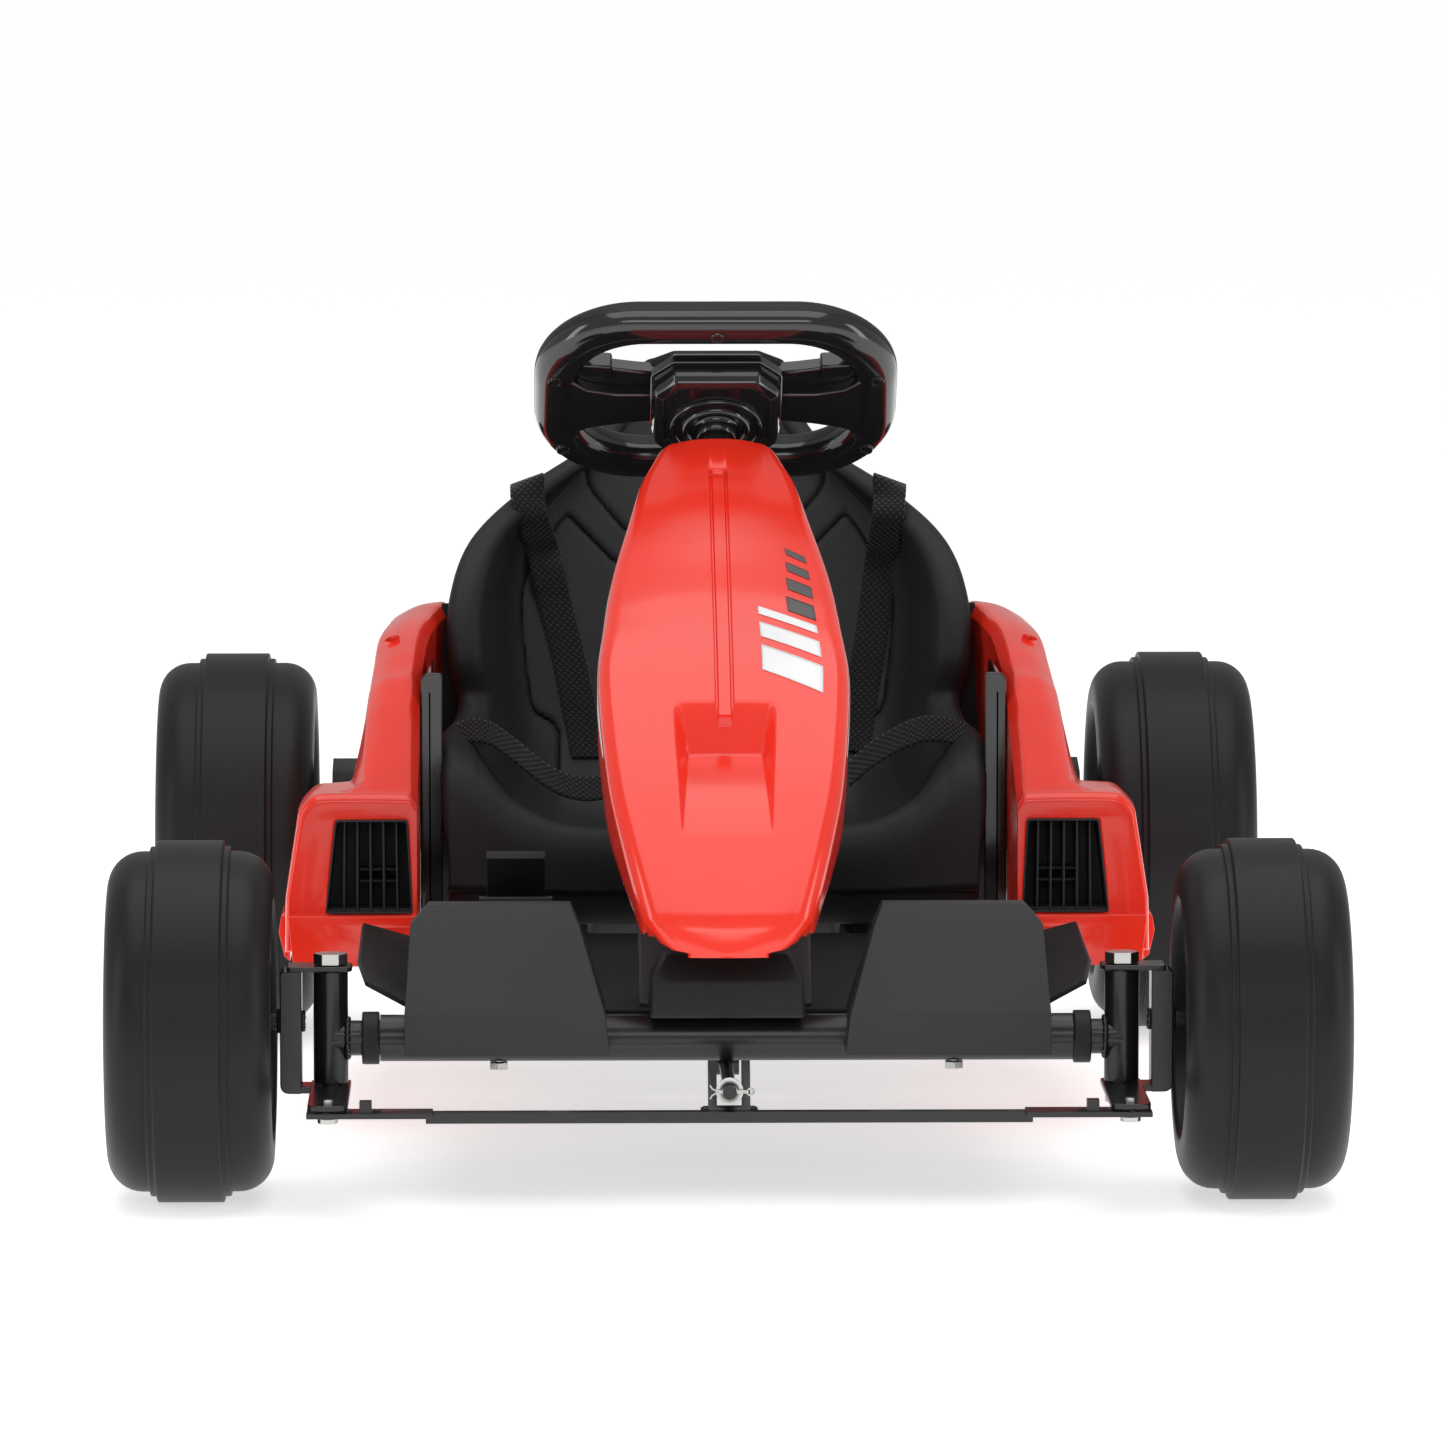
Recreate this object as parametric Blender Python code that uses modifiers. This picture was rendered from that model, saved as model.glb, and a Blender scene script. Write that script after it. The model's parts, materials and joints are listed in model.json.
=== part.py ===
"""Child's electric kart: tube frame, linked front steering, four wheels, bucket seat and body panels.

The kart faces -Y and stands on z = 0. Its own left side is +X. Metres throughout.
"""
import math

import bmesh
import bpy
from mathutils import Matrix, Vector

# Driving dimensions
WHEELBASE = 0.740
OVERALL_WIDTH = 0.710
FRONT_TYRE_RADIUS = 0.104
FRONT_TYRE_WIDTH = 0.095
REAR_TYRE_RADIUS = 0.1225
REAR_TYRE_WIDTH = 0.102
FRONT_AXLE_Y = -(WHEELBASE + REAR_TYRE_RADIUS - FRONT_TYRE_RADIUS) / 2
REAR_AXLE_Y = FRONT_AXLE_Y + WHEELBASE
CROSS_TUBE_Z = 0.094
CROSS_TUBE_RADIUS = 0.0135
CROSS_TUBE_HALF = 0.199
KINGPIN_X = 0.2275
RAIL_X = 0.095
RAIL_Z = 0.0905
RAIL_RADIUS = 0.0105
REAR_TUBE_Y = REAR_AXLE_Y - 0.075
AXLE_RADIUS = 0.0075
STUB_RADIUS = 0.005
BLOCK_BOLT_X = 0.131
TRAY_TOP = 0.108
COLUMN_LEAN = math.radians(50)
WHEEL_HUB_D = 0.340
WHEEL_HUB_Z = 0.444
STEERING_ARM = 0.085
WHEEL_STEPS = 32
GAP = 0.0003
FIT = 0.0005
WALL = 0.003


def at(d):
    """World y of a place d behind the front axle."""
    return FRONT_AXLE_Y + d


# ---------------------------------------------------------------- scene and materials
for old in list(bpy.data.objects):
    bpy.data.objects.remove(old, do_unlink=True)

KART = bpy.data.collections.new("kart_chassis")
CUTTERS = bpy.data.collections.new("cutters")
bpy.context.scene.collection.children.link(KART)
bpy.context.scene.collection.children.link(CUTTERS)


def make_material(name, color, roughness, metallic=0.0):
    made = bpy.data.materials.new(name)
    made.use_nodes = True
    made.diffuse_color = (*color, 1)
    shader = made.node_tree.nodes["Principled BSDF"]
    shader.inputs["Base Color"].default_value = (*color, 1)
    shader.inputs["Roughness"].default_value = roughness
    shader.inputs["Metallic"].default_value = metallic
    return made


RED = make_material("red_plastic", (0.72, 0.02, 0.02), 0.18)
BLACK = make_material("black_plastic", (0.012, 0.012, 0.013), 0.5)
GLOSS = make_material("gloss_black_plastic", (0.008, 0.008, 0.009), 0.2)
GREY = make_material("grey_plastic", (0.07, 0.07, 0.075), 0.5)
TYRE = make_material("tyre_black", (0.014, 0.014, 0.015), 0.55)
STEEL = make_material("black_steel", (0.01, 0.01, 0.011), 0.35)
ZINC = make_material("zinc_steel", (0.6, 0.6, 0.58), 0.3, 1.0)
WEB = make_material("black_webbing", (0.01, 0.01, 0.01), 0.9)


# ---------------------------------------------------------------- shape helpers
def place(name, mesh, material, shape=None, helper=False):
    """Adds a mesh as one named object, with its own copy of the material."""
    made = bpy.data.objects.new(name, mesh)
    (CUTTERS if helper else KART).objects.link(made)
    if shape is not None:
        made.matrix_world = shape
    if helper:
        made.hide_render = True
        made.display_type = "WIRE"
    else:
        own = material.copy()
        own.name = name + "_" + material.name
        mesh.materials.append(own)
    return made


def mesh_of(builder, name):
    """A mesh from a function that fills a bmesh."""
    work = bmesh.new()
    builder(work)
    bmesh.ops.recalc_face_normals(work, faces=work.faces)
    mesh = bpy.data.meshes.new(name)
    work.to_mesh(mesh)
    work.free()
    return mesh


def box(name, low, high, material=None, turn=None, helper=False):
    """A block between two corners, which turn can tilt afterwards."""
    low, high = Vector(low), Vector(high)

    def fill(work):
        bmesh.ops.create_cube(work, size=1)
        bmesh.ops.scale(work, vec=high - low, verts=work.verts)
        bmesh.ops.translate(work, vec=(low + high) / 2, verts=work.verts)

    return place(name, mesh_of(fill, name), material, turn, helper)


def rod(name, start, end, radius, material=None, sides=24, helper=False, turn=0.0):
    """A round bar from one point to another."""
    start, end = Vector(start), Vector(end)
    span = end - start

    def fill(work):
        bmesh.ops.create_cone(
            work, cap_ends=True, segments=sides, radius1=radius, radius2=radius, depth=span.length)
        bmesh.ops.rotate(work, verts=work.verts, matrix=Matrix.Rotation(turn, 3, "Z"))

    shape = Matrix.Translation((start + end) / 2) @ span.to_track_quat("Z", "Y").to_matrix().to_4x4()
    made = place(name, mesh_of(fill, name), material, shape, helper)
    made.data.shade_smooth()
    made.data.set_sharp_from_angle(angle=math.radians(40))
    return made


def prism(name, outline, thickness, frame, material=None, helper=False):
    """A flat outline in the frame's XY plane, extruded equally to both sides of it."""
    curve = bpy.data.curves.new(name, "CURVE")
    curve.dimensions = "2D"
    curve.fill_mode = "BOTH"
    curve.extrude = thickness / 2
    line = curve.splines.new("POLY")
    line.points.add(len(outline) - 1)
    for point, (across, up) in zip(line.points, outline):
        point.co = (across, up, 0, 1)
    line.use_cyclic_u = True
    return realise(name, curve, frame, material, helper)


def bar(name, points, radius, material=None, resolution=3, closed=False, helper=False):
    """A bent round bar along the points."""
    curve = bpy.data.curves.new(name, "CURVE")
    curve.dimensions = "3D"
    curve.bevel_depth = radius
    curve.bevel_resolution = resolution
    curve.use_fill_caps = not closed
    line = curve.splines.new("POLY")
    line.points.add(len(points) - 1)
    for point, spot in zip(line.points, points):
        point.co = (*spot, 1)
    line.use_cyclic_u = closed
    return realise(name, curve, Matrix.Identity(4), material, helper)


def realise(name, curve, frame, material, helper):
    """Turns a curve into a closed mesh object."""
    guide = bpy.data.objects.new(name + "_guide", curve)
    bpy.context.scene.collection.objects.link(guide)
    bpy.context.view_layer.update()
    graph = bpy.context.evaluated_depsgraph_get()
    mesh = bpy.data.meshes.new_from_object(guide.evaluated_get(graph))
    bpy.data.objects.remove(guide, do_unlink=True)
    bpy.data.curves.remove(curve)
    mesh.name = name
    mesh.materials.clear()
    work = bmesh.new()
    work.from_mesh(mesh)
    bmesh.ops.remove_doubles(work, verts=work.verts, dist=0.00002)
    bmesh.ops.recalc_face_normals(work, faces=work.faces)
    work.to_mesh(mesh)
    work.free()
    return place(name, mesh, material, frame, helper)


def loft(name, rings, material=None, helper=False):
    """A closed body through rings of equally many points, capped at both ends."""

    def fill(work):
        rows = [[work.verts.new(point) for point in ring] for ring in rings]
        count = len(rows[0])
        for row, following in zip(rows, rows[1:]):
            for i in range(count):
                j = (i + 1) % count
                work.faces.new((row[i], row[j], following[j], following[i]))
        work.faces.new(rows[0])
        work.faces.new(rows[-1])

    return place(name, mesh_of(fill, name), material, None, helper)


def sheet(name, rows, thickness, material, offset=-1):
    """An open surface through rows of points, thickened to its back, or to both sides with offset 0."""

    def fill(work):
        grid = [[work.verts.new(point) for point in row] for row in rows]
        for row, following in zip(grid, grid[1:]):
            for i in range(len(row) - 1):
                work.faces.new((row[i], row[i + 1], following[i + 1], following[i]))

    made = place(name, mesh_of(fill, name), material)
    shell = made.modifiers.new("wall", "SOLIDIFY")
    shell.thickness = thickness
    shell.offset = offset
    shell.use_even_offset = True
    return made


def boolean(target, other, operation):
    step = target.modifiers.new(operation.lower(), "BOOLEAN")
    step.operation = operation
    step.object = other
    return target


def cut(target, *others):
    for other in others:
        boolean(target, other, "DIFFERENCE")
    return target


def join(target, *others):
    for other in others:
        boolean(target, other, "UNION")
    return target


def soften(target, width, segments=2):
    edge = target.modifiers.new("soft_edges", "BEVEL")
    edge.width = width
    edge.segments = segments
    edge.limit_method = "ANGLE"
    edge.angle_limit = math.radians(40)
    return target


def mirrored(points, side):
    return [(side * x, y, z) for x, y, z in points]


def frame_x(x, y=0.0, z=0.0):
    """A drawing plane whose X runs along world Y and whose Y runs up, facing along world X."""
    return Matrix(((0, 0, 1, x), (1, 0, 0, y), (0, 1, 0, z), (0, 0, 0, 1)))


def frame_y(x, y=0.0, z=0.0):
    """A drawing plane whose X runs along world X and whose Y runs up, facing forward."""
    return Matrix(((1, 0, 0, x), (0, 0, -1, y), (0, 1, 0, z), (0, 0, 0, 1)))


SIDES = (("left", 1), ("right", -1))

# ---------------------------------------------------------------- steering geometry
COLUMN_UP = Vector((0, math.cos(COLUMN_LEAN), math.sin(COLUMN_LEAN)))
COLUMN_FRONT = Vector((0, -math.sin(COLUMN_LEAN), math.cos(COLUMN_LEAN)))
HUB = Vector((0, at(WHEEL_HUB_D), WHEEL_HUB_Z))


def on_column(z):
    """The point of the column's axis at height z."""
    return HUB + COLUMN_UP * ((z - HUB.z) / COLUMN_UP.z)


def column_frame(along):
    """Drawing plane square to the column, along metres below the wheel's hub; its Y points up and forward."""
    origin = HUB - COLUMN_UP * along
    across = Vector((1, 0, 0))
    return Matrix(((across.x, COLUMN_FRONT.x, COLUMN_UP.x, origin.x),
                   (across.y, COLUMN_FRONT.y, COLUMN_UP.y, origin.y),
                   (across.z, COLUMN_FRONT.z, COLUMN_UP.z, origin.z),
                   (0, 0, 0, 1)))


FINGER_Z = 0.0755
FINGER_RADIUS = 0.004
COLUMN_RADIUS = 0.008
BEARING_Z = 0.0925
ROD_D = -STEERING_ARM
ROD_TOP = 0.0635
ROD_BOTTOM = 0.0570
ARM_TOP = 0.0680
ARM_BOTTOM = 0.0645
END_THICK = 0.003
TAB_LEAN = math.radians(60)
TAB_LENGTH = 0.030
TAB_HALF = 0.012


# ---------------------------------------------------------------- frame
def build_frame():
    tube = rod("front_cross_tube", (-CROSS_TUBE_HALF, at(0), CROSS_TUBE_Z),
               (CROSS_TUBE_HALF, at(0), CROSS_TUBE_Z), CROSS_TUBE_RADIUS, STEEL)
    bore = rod("cross_tube_bore", (-0.21, at(0), CROSS_TUBE_Z), (0.21, at(0), CROSS_TUBE_Z),
               0.0113, helper=True)
    cut(tube, bore)
    for side, sign in SIDES:
        hole = rod("cross_tube_bolt_hole_" + side, (sign * BLOCK_BOLT_X, at(0), 0.06),
                   (sign * BLOCK_BOLT_X, at(0), 0.12), 0.0034, helper=True, sides=12)
        cut(tube, hole)
        build_kingpin_housing(side, sign)
        collar = rod("tube_collar_" + side, (sign * (CROSS_TUBE_HALF + FIT), at(0), CROSS_TUBE_Z),
                     (sign * 0.2095, at(0), CROSS_TUBE_Z), 0.0153, BLACK)
        cut(collar, rod("collar_bore_" + side, (sign * 0.19, at(0), CROSS_TUBE_Z),
                        (sign * 0.22, at(0), CROSS_TUBE_Z), 0.0107, helper=True))
        rod("frame_rail_" + side, (sign * RAIL_X, at(0.0138), RAIL_Z),
            (sign * RAIL_X, REAR_TUBE_Y - RAIL_RADIUS - GAP, RAIL_Z), RAIL_RADIUS, STEEL, sides=16)
        build_axle_plate(side, sign)
    rod("frame_rear_tube", (-0.150, REAR_TUBE_Y, RAIL_Z), (0.150, REAR_TUBE_Y, RAIL_Z),
        RAIL_RADIUS, STEEL, sides=16)
    rod("rear_axle", (-0.345, REAR_AXLE_Y, REAR_TYRE_RADIUS), (0.345, REAR_AXLE_Y, REAR_TYRE_RADIUS),
        AXLE_RADIUS, ZINC, sides=20)


def build_kingpin_housing(side, sign):
    """Inner tube that slides into the cross tube's end, welded to the upright kingpin tube."""
    housing = rod("kingpin_housing_" + side, (sign * KINGPIN_X, at(0), ARM_TOP + 0.0007),
                  (sign * KINGPIN_X, at(0), 0.1328), 0.010, STEEL)
    stub = rod("housing_stub_" + side, (sign * 0.150, at(0), CROSS_TUBE_Z),
               (sign * KINGPIN_X, at(0), CROSS_TUBE_Z), 0.0102, helper=True)
    bore = rod("kingpin_bore_" + side, (sign * KINGPIN_X, at(0), 0.05),
               (sign * KINGPIN_X, at(0), 0.15), 0.0055, helper=True, sides=16)
    cut(join(housing, stub), bore)


def build_axle_plate(side, sign):
    """Upright plate on the rear tube's end that carries the rear axle."""
    y0 = REAR_TUBE_Y
    outline = [(-0.016, 0.076), (0.030, 0.076), (0.092, 0.106), (0.096, 0.1225), (0.090, 0.139),
               (0.060, 0.143), (0.015, 0.125), (-0.016, 0.106)]
    plate = prism("axle_plate_" + side, outline, 0.005, frame_x(sign * 0.1535, y0, 0), STEEL)
    cut(plate, rod("axle_hole_" + side, (sign * 0.14, REAR_AXLE_Y, REAR_TYRE_RADIUS),
                   (sign * 0.17, REAR_AXLE_Y, REAR_TYRE_RADIUS), AXLE_RADIUS + FIT, helper=True, sides=20))


# ---------------------------------------------------------------- steering linkage
def build_steering_linkage():
    build_steering_column()
    build_tie_rod()
    for side, sign in SIDES:
        build_knuckle(side, sign)


def build_steering_column():
    """Upright shaft whose foot is bent into a finger that reaches under the cross tube."""
    foot = on_column(FINGER_Z)
    top = HUB - COLUMN_UP * 0.008
    column = rod("steering_column", foot, top, COLUMN_RADIUS, STEEL, sides=20)
    finger = rod("column_finger", foot, (0, at(ROD_D - 0.0121), FINGER_Z), FINGER_RADIUS,
                 sides=16, helper=True)
    joint = rod("column_foot", foot - Vector((0.0078, 0, 0)), foot + Vector((0.0078, 0, 0)), 0.0078,
                sides=20, helper=True)
    washer_y = at(ROD_D - 0.0052)
    pin_y = washer_y - 0.0034
    hole = rod("finger_pin_hole", (-0.01, pin_y, FINGER_Z), (0.01, pin_y, FINGER_Z), 0.0013,
               sides=10, helper=True)
    cut(join(column, joint, finger), hole)
    rod("split_pin", (-0.011, pin_y, FINGER_Z), (0.011, pin_y, FINGER_Z), 0.0009, ZINC, sides=10)
    washer = rod("finger_washer", (0, washer_y - 0.0016, FINGER_Z), (0, washer_y, FINGER_Z), 0.0078, ZINC)
    cut(washer, rod("washer_bore", (0, washer_y - 0.01, FINGER_Z), (0, washer_y + 0.01, FINGER_Z),
                    FINGER_RADIUS + GAP, sides=16, helper=True))
    outline = [(-0.083, -0.014), (0.083, -0.014), (0.083, 0.014), (-0.083, 0.014)]
    bearing = prism("column_bearing_plate", outline, 0.004,
                    column_frame((HUB.z - BEARING_Z) / COLUMN_UP.z), STEEL)
    cut(bearing, rod("bearing_bore", on_column(0.08), on_column(0.12), COLUMN_RADIUS + FIT,
                     sides=20, helper=True))


def build_tie_rod():
    """Square bar with flat slotted ends, two stop lugs and a forked tab for the column's finger."""
    middle_y = at(ROD_D)
    tie = box("tie_rod", (-0.172, middle_y - 0.004, ROD_BOTTOM), (0.172, middle_y + 0.004, ROD_TOP), STEEL)
    for side, sign in SIDES:
        ends = sorted((sign * 0.168, sign * (KINGPIN_X + 0.012)))
        top = ARM_BOTTOM - 0.0008
        join(tie, box("tie_rod_end_" + side, (ends[0], middle_y - 0.011, top - END_THICK),
                      (ends[1], middle_y + 0.011, top), helper=True))
        lug = sorted((sign * 0.2025, sign * 0.2095))
        join(tie, box("tie_rod_lug_" + side, (lug[0], middle_y - 0.007, top - 0.002),
                      (lug[1], middle_y + 0.001, top + 0.0065), helper=True))
        slot = box("tie_rod_slot_" + side, (sign * KINGPIN_X - 0.0036, middle_y - 0.0037, 0.05),
                   (sign * KINGPIN_X + 0.0036, middle_y + 0.0090, 0.075), helper=True)
        cut(tie, slot)
    tab_foot = Vector((0, middle_y + 0.0033, ROD_TOP - 0.002))
    along = Vector((0, math.cos(TAB_LEAN), math.sin(TAB_LEAN)))
    square = Vector((0, math.sin(TAB_LEAN), -math.cos(TAB_LEAN)))
    frame = Matrix(((1, 0, 0, 0), (0, along.y, square.y, tab_foot.y), (0, along.z, square.z, tab_foot.z),
                    (0, 0, 0, 1)))
    reach = TAB_LENGTH + 0.002
    tab = prism("tie_rod_tab", [(-TAB_HALF, 0), (TAB_HALF, 0), (TAB_HALF, reach), (-TAB_HALF, reach)],
                0.003, frame, helper=True)
    fork = prism("tie_rod_fork", [(-0.0070, 0.0045), (0.0070, 0.0045), (0.0070, 0.05), (-0.0070, 0.05)],
                 0.02, frame, helper=True)
    join(tie, tab)
    cut(tie, fork)


def build_knuckle(side, sign):
    """C bracket round the kingpin tube, with the wheel's stub axle outside and the steering arm in front."""
    x_in, x_out = 0.2440, 0.2565
    wall = sorted((sign * x_in, sign * x_out))
    knuckle = box("knuckle_" + side, (wall[0], at(-0.011), 0.0625), (wall[1], at(0.011), 0.1365), STEEL)
    top = sorted((sign * 0.2150, sign * 0.2500))
    join(knuckle, box("knuckle_top_" + side, (top[0], at(-0.012), 0.1335), (top[1], at(0.012), 0.1365),
                      helper=True))
    arm = sorted((sign * (KINGPIN_X - 0.0115), sign * (KINGPIN_X + 0.0115)))
    join(knuckle, box("knuckle_arm_" + side, (arm[0], at(-STEERING_ARM - 0.010), ARM_BOTTOM),
                      (arm[1], at(0.013), ARM_TOP), helper=True))
    shelf = sorted((sign * (KINGPIN_X + 0.0100), sign * 0.2500))
    join(knuckle, box("knuckle_shelf_" + side, (shelf[0], at(-0.0105), 0.0632),
                      (shelf[1], at(0.0105), 0.0673), helper=True))
    join(knuckle, rod("stub_axle_" + side, (sign * 0.250, at(0), FRONT_TYRE_RADIUS),
                      (sign * 0.345, at(0), FRONT_TYRE_RADIUS), STUB_RADIUS, sides=16, helper=True))
    cut(knuckle, rod("knuckle_bore_" + side, (sign * KINGPIN_X, at(0), 0.04),
                     (sign * KINGPIN_X, at(0), 0.15), 0.0053, sides=16, helper=True))
    cut(knuckle, rod("arm_hole_" + side, (sign * KINGPIN_X, at(ROD_D), 0.04),
                     (sign * KINGPIN_X, at(ROD_D), 0.08), 0.0032, sides=12, helper=True))
    bolt = rod("kingpin_bolt_" + side, (sign * KINGPIN_X, at(0), 0.0478), (sign * KINGPIN_X, at(0), 0.1390),
               0.0049, ZINC, sides=16)
    head = rod("kingpin_head_" + side, (sign * KINGPIN_X, at(0), 0.1365 + GAP),
               (sign * KINGPIN_X, at(0), 0.1432), 0.0098, sides=6, helper=True, turn=math.radians(30))
    nut = rod("kingpin_nut_" + side, (sign * KINGPIN_X, at(0), 0.0560),
              (sign * KINGPIN_X, at(0), ARM_BOTTOM - GAP), 0.0094, sides=6, helper=True,
              turn=math.radians(30))
    join(bolt, head, nut)
    pin = rod("tie_rod_bolt_" + side, (sign * KINGPIN_X, at(ROD_D), 0.0585),
              (sign * KINGPIN_X, at(ROD_D), 0.0705), 0.0029, ZINC, sides=12)
    join(pin, rod("tie_rod_bolt_head_" + side, (sign * KINGPIN_X, at(ROD_D), 0.0570),
                  (sign * KINGPIN_X, at(ROD_D), 0.0600), 0.0058, sides=12, helper=True))


# ---------------------------------------------------------------- wheels and drive
def wheel_profile(radius, half_width, bore, band, recess):
    """Radius and axial place round the wheel's section, from the bore's inboard end and back to it."""
    face = [(bore, 0.030), (0.017, 0.030), (0.020, 0.014), (recess - 0.004, 0.014),
            (recess, half_width - 0.002), (recess + 0.004, half_width), (radius - 0.022, half_width),
            (radius - 0.0115, half_width - 0.0045), (radius - 0.0065, half_width - 0.014),
            (radius - 0.0055, band + 0.0035), (radius - 0.001, band + 0.0025), (radius, band)]
    inboard = [(r, -a) for r, a in face]
    return inboard + face[::-1]


def build_wheel(name, x, y, radius, width, bore, side):
    """One moulded wheel and tyre, turned about its axle, with a flat facet against the floor."""
    profile = wheel_profile(radius, width / 2, bore, 0.4 * width / 2 - 0.0005, radius - 0.036)
    mesh = bpy.data.meshes.new(name)
    points = [(r, 0, a) for r, a in reversed(profile)]
    mesh.from_pydata(points, [(i, (i + 1) % len(points)) for i in range(len(points))], [])
    turn = Matrix.Rotation(math.pi / WHEEL_STEPS, 4, "Z")
    lay = Matrix.Rotation(side * math.pi / 2, 4, "Y")
    made = place(name, mesh, TYRE, Matrix.Translation((x, y, radius)) @ lay @ turn)
    screw = made.modifiers.new("turned", "SCREW")
    screw.axis = "Z"
    screw.steps = screw.render_steps = WHEEL_STEPS
    screw.use_merge_vertices = True
    screw.merge_threshold = 0.0001
    screw.use_normal_calculate = False
    for point in mesh.vertices:
        if point.co.x > radius / 2:
            point.co.x /= math.cos(math.pi / WHEEL_STEPS)
    return made


def build_wheels_and_drive():
    for side, sign in SIDES:
        front_x = sign * (OVERALL_WIDTH - FRONT_TYRE_WIDTH) / 2
        rear_x = sign * (OVERALL_WIDTH - REAR_TYRE_WIDTH) / 2
        build_wheel("wheel_front_" + side, front_x, at(0), FRONT_TYRE_RADIUS, FRONT_TYRE_WIDTH,
                    STUB_RADIUS + 0.0006, sign)
        build_wheel("wheel_rear_" + side, rear_x, REAR_AXLE_Y, REAR_TYRE_RADIUS, REAR_TYRE_WIDTH,
                    AXLE_RADIUS + 0.0006, sign)
        outline = [(-0.093, 0.130), (-0.080, 0.112), (-0.030, 0.083), (0.012, 0.080), (0.036, 0.096),
                   (0.044, 0.1225), (0.036, 0.149), (0.012, 0.165), (-0.050, 0.182), (-0.080, 0.176),
                   (-0.093, 0.155)]
        case = prism("gearbox_" + side, outline, 0.040, frame_x(sign * 0.2210, REAR_AXLE_Y, 0), BLACK)
        cut(case, rod("gearbox_hole_" + side, (sign * 0.18, REAR_AXLE_Y, REAR_TYRE_RADIUS),
                      (sign * 0.26, REAR_AXLE_Y, REAR_TYRE_RADIUS), AXLE_RADIUS + FIT, helper=True, sides=20))
        rod("motor_" + side, (sign * 0.1600, REAR_AXLE_Y - 0.062, 0.150),
            (sign * 0.2005, REAR_AXLE_Y - 0.062, 0.150), 0.0185, ZINC, sides=20)


# ---------------------------------------------------------------- body panels
FAIRING_PATH = [  # distance behind the front axle, height, half width, wall depth
    (-0.0660, 0.1530, 0.0300, 0.014), (-0.0640, 0.1640, 0.0430, 0.020), (-0.0560, 0.1785, 0.0500, 0.028),
    (-0.0300, 0.2130, 0.0600, 0.040), (0.0080, 0.2490, 0.0680, 0.048), (0.0780, 0.2997, 0.0731, 0.050),
    (0.1300, 0.3304, 0.0691, 0.050), (0.1720, 0.3528, 0.0643, 0.048), (0.2220, 0.3798, 0.0546, 0.044),
    (0.2620, 0.4003, 0.0466, 0.040), (0.2920, 0.4174, 0.0320, 0.036)]


def fairing_ring(i, wall, reach):
    """Section of the fairing at path station i, wall metres inside the outer skin, reach metres deeper."""
    d, z, half, depth = FAIRING_PATH[i]
    before = FAIRING_PATH[max(i - 1, 0)]
    after = FAIRING_PATH[min(i + 1, len(FAIRING_PATH) - 1)]
    run = Vector((0, after[0] - before[0], after[1] - before[1])).normalized()
    out = Vector((0, -run.z, run.y))
    half -= wall
    centre = Vector((0, at(d), z)) - out * wall
    section = [(1, -depth - reach), (1, -0.016), (0.94, -0.006), (0.75, -0.001), (0.35, 0.001)]
    ring = [centre + Vector((half * x, 0, 0)) + out * h for x, h in section]
    return ring + [Vector((-p.x, p.y, p.z)) for p in reversed(ring)]


def build_nose():
    stations = range(len(FAIRING_PATH))
    fairing = loft("nose_fairing", [fairing_ring(i, 0, 0) for i in stations], RED)
    inner = [fairing_ring(i, WALL, 0.02) for i in stations]
    run = (inner[1][4] - inner[0][4]).normalized() * 0.0035
    inner[0] = [point + run for point in inner[0]]
    run = (inner[-2][4] - inner[-1][4]).normalized() * 0.0035
    inner[-1] = [point + run for point in inner[-1]]
    cut(fairing, loft("fairing_cavity", inner, helper=True))
    cut(fairing, rod("fairing_column_hole", on_column(0.36), on_column(0.43), COLUMN_RADIUS + 0.0015,
                     sides=20, helper=True))
    rows = [((0.045, 0.1088), (-0.031, 0.021)), ((0.0435, 0.1305), (-0.031, 0.021)),
            ((0.0360, 0.1440), (-0.014, 0.018))]
    rings = []
    for (half, z), (front, back) in rows:
        rings.append([(-half, at(front), z), (half, at(front), z), (half, at(back), z), (-half, at(back), z)])
    soften(loft("front_cover", rings, BLACK), 0.002, 1)
    build_column_support()
    for side, sign in SIDES:
        build_bumper_block(side, sign)


def build_column_support():
    """Channel behind the fairing that stands on the floor tray and carries the column's upper bush."""
    low, high = (HUB.z - 0.080) / COLUMN_UP.z, (HUB.z - 0.340) / COLUMN_UP.z
    middle = column_frame((low + high) / 2)
    half = (low - high) / 2
    support = box("column_support", (-0.050, -0.018, -half), (0.050, 0.022, half), GREY, middle)
    hollow = box("support_hollow", (-0.047, -0.030, -half - 0.01), (0.047, 0.019, half - 0.006),
                 turn=middle, helper=True)
    below = box("support_below", (-0.1, at(-0.1), 0.0), (0.1, at(0.2), TRAY_TOP + 0.0008), helper=True)
    hole = rod("support_bush_hole", on_column(0.30), on_column(0.38), COLUMN_RADIUS + FIT,
               sides=20, helper=True)
    cut(support, hollow, below, hole)


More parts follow.
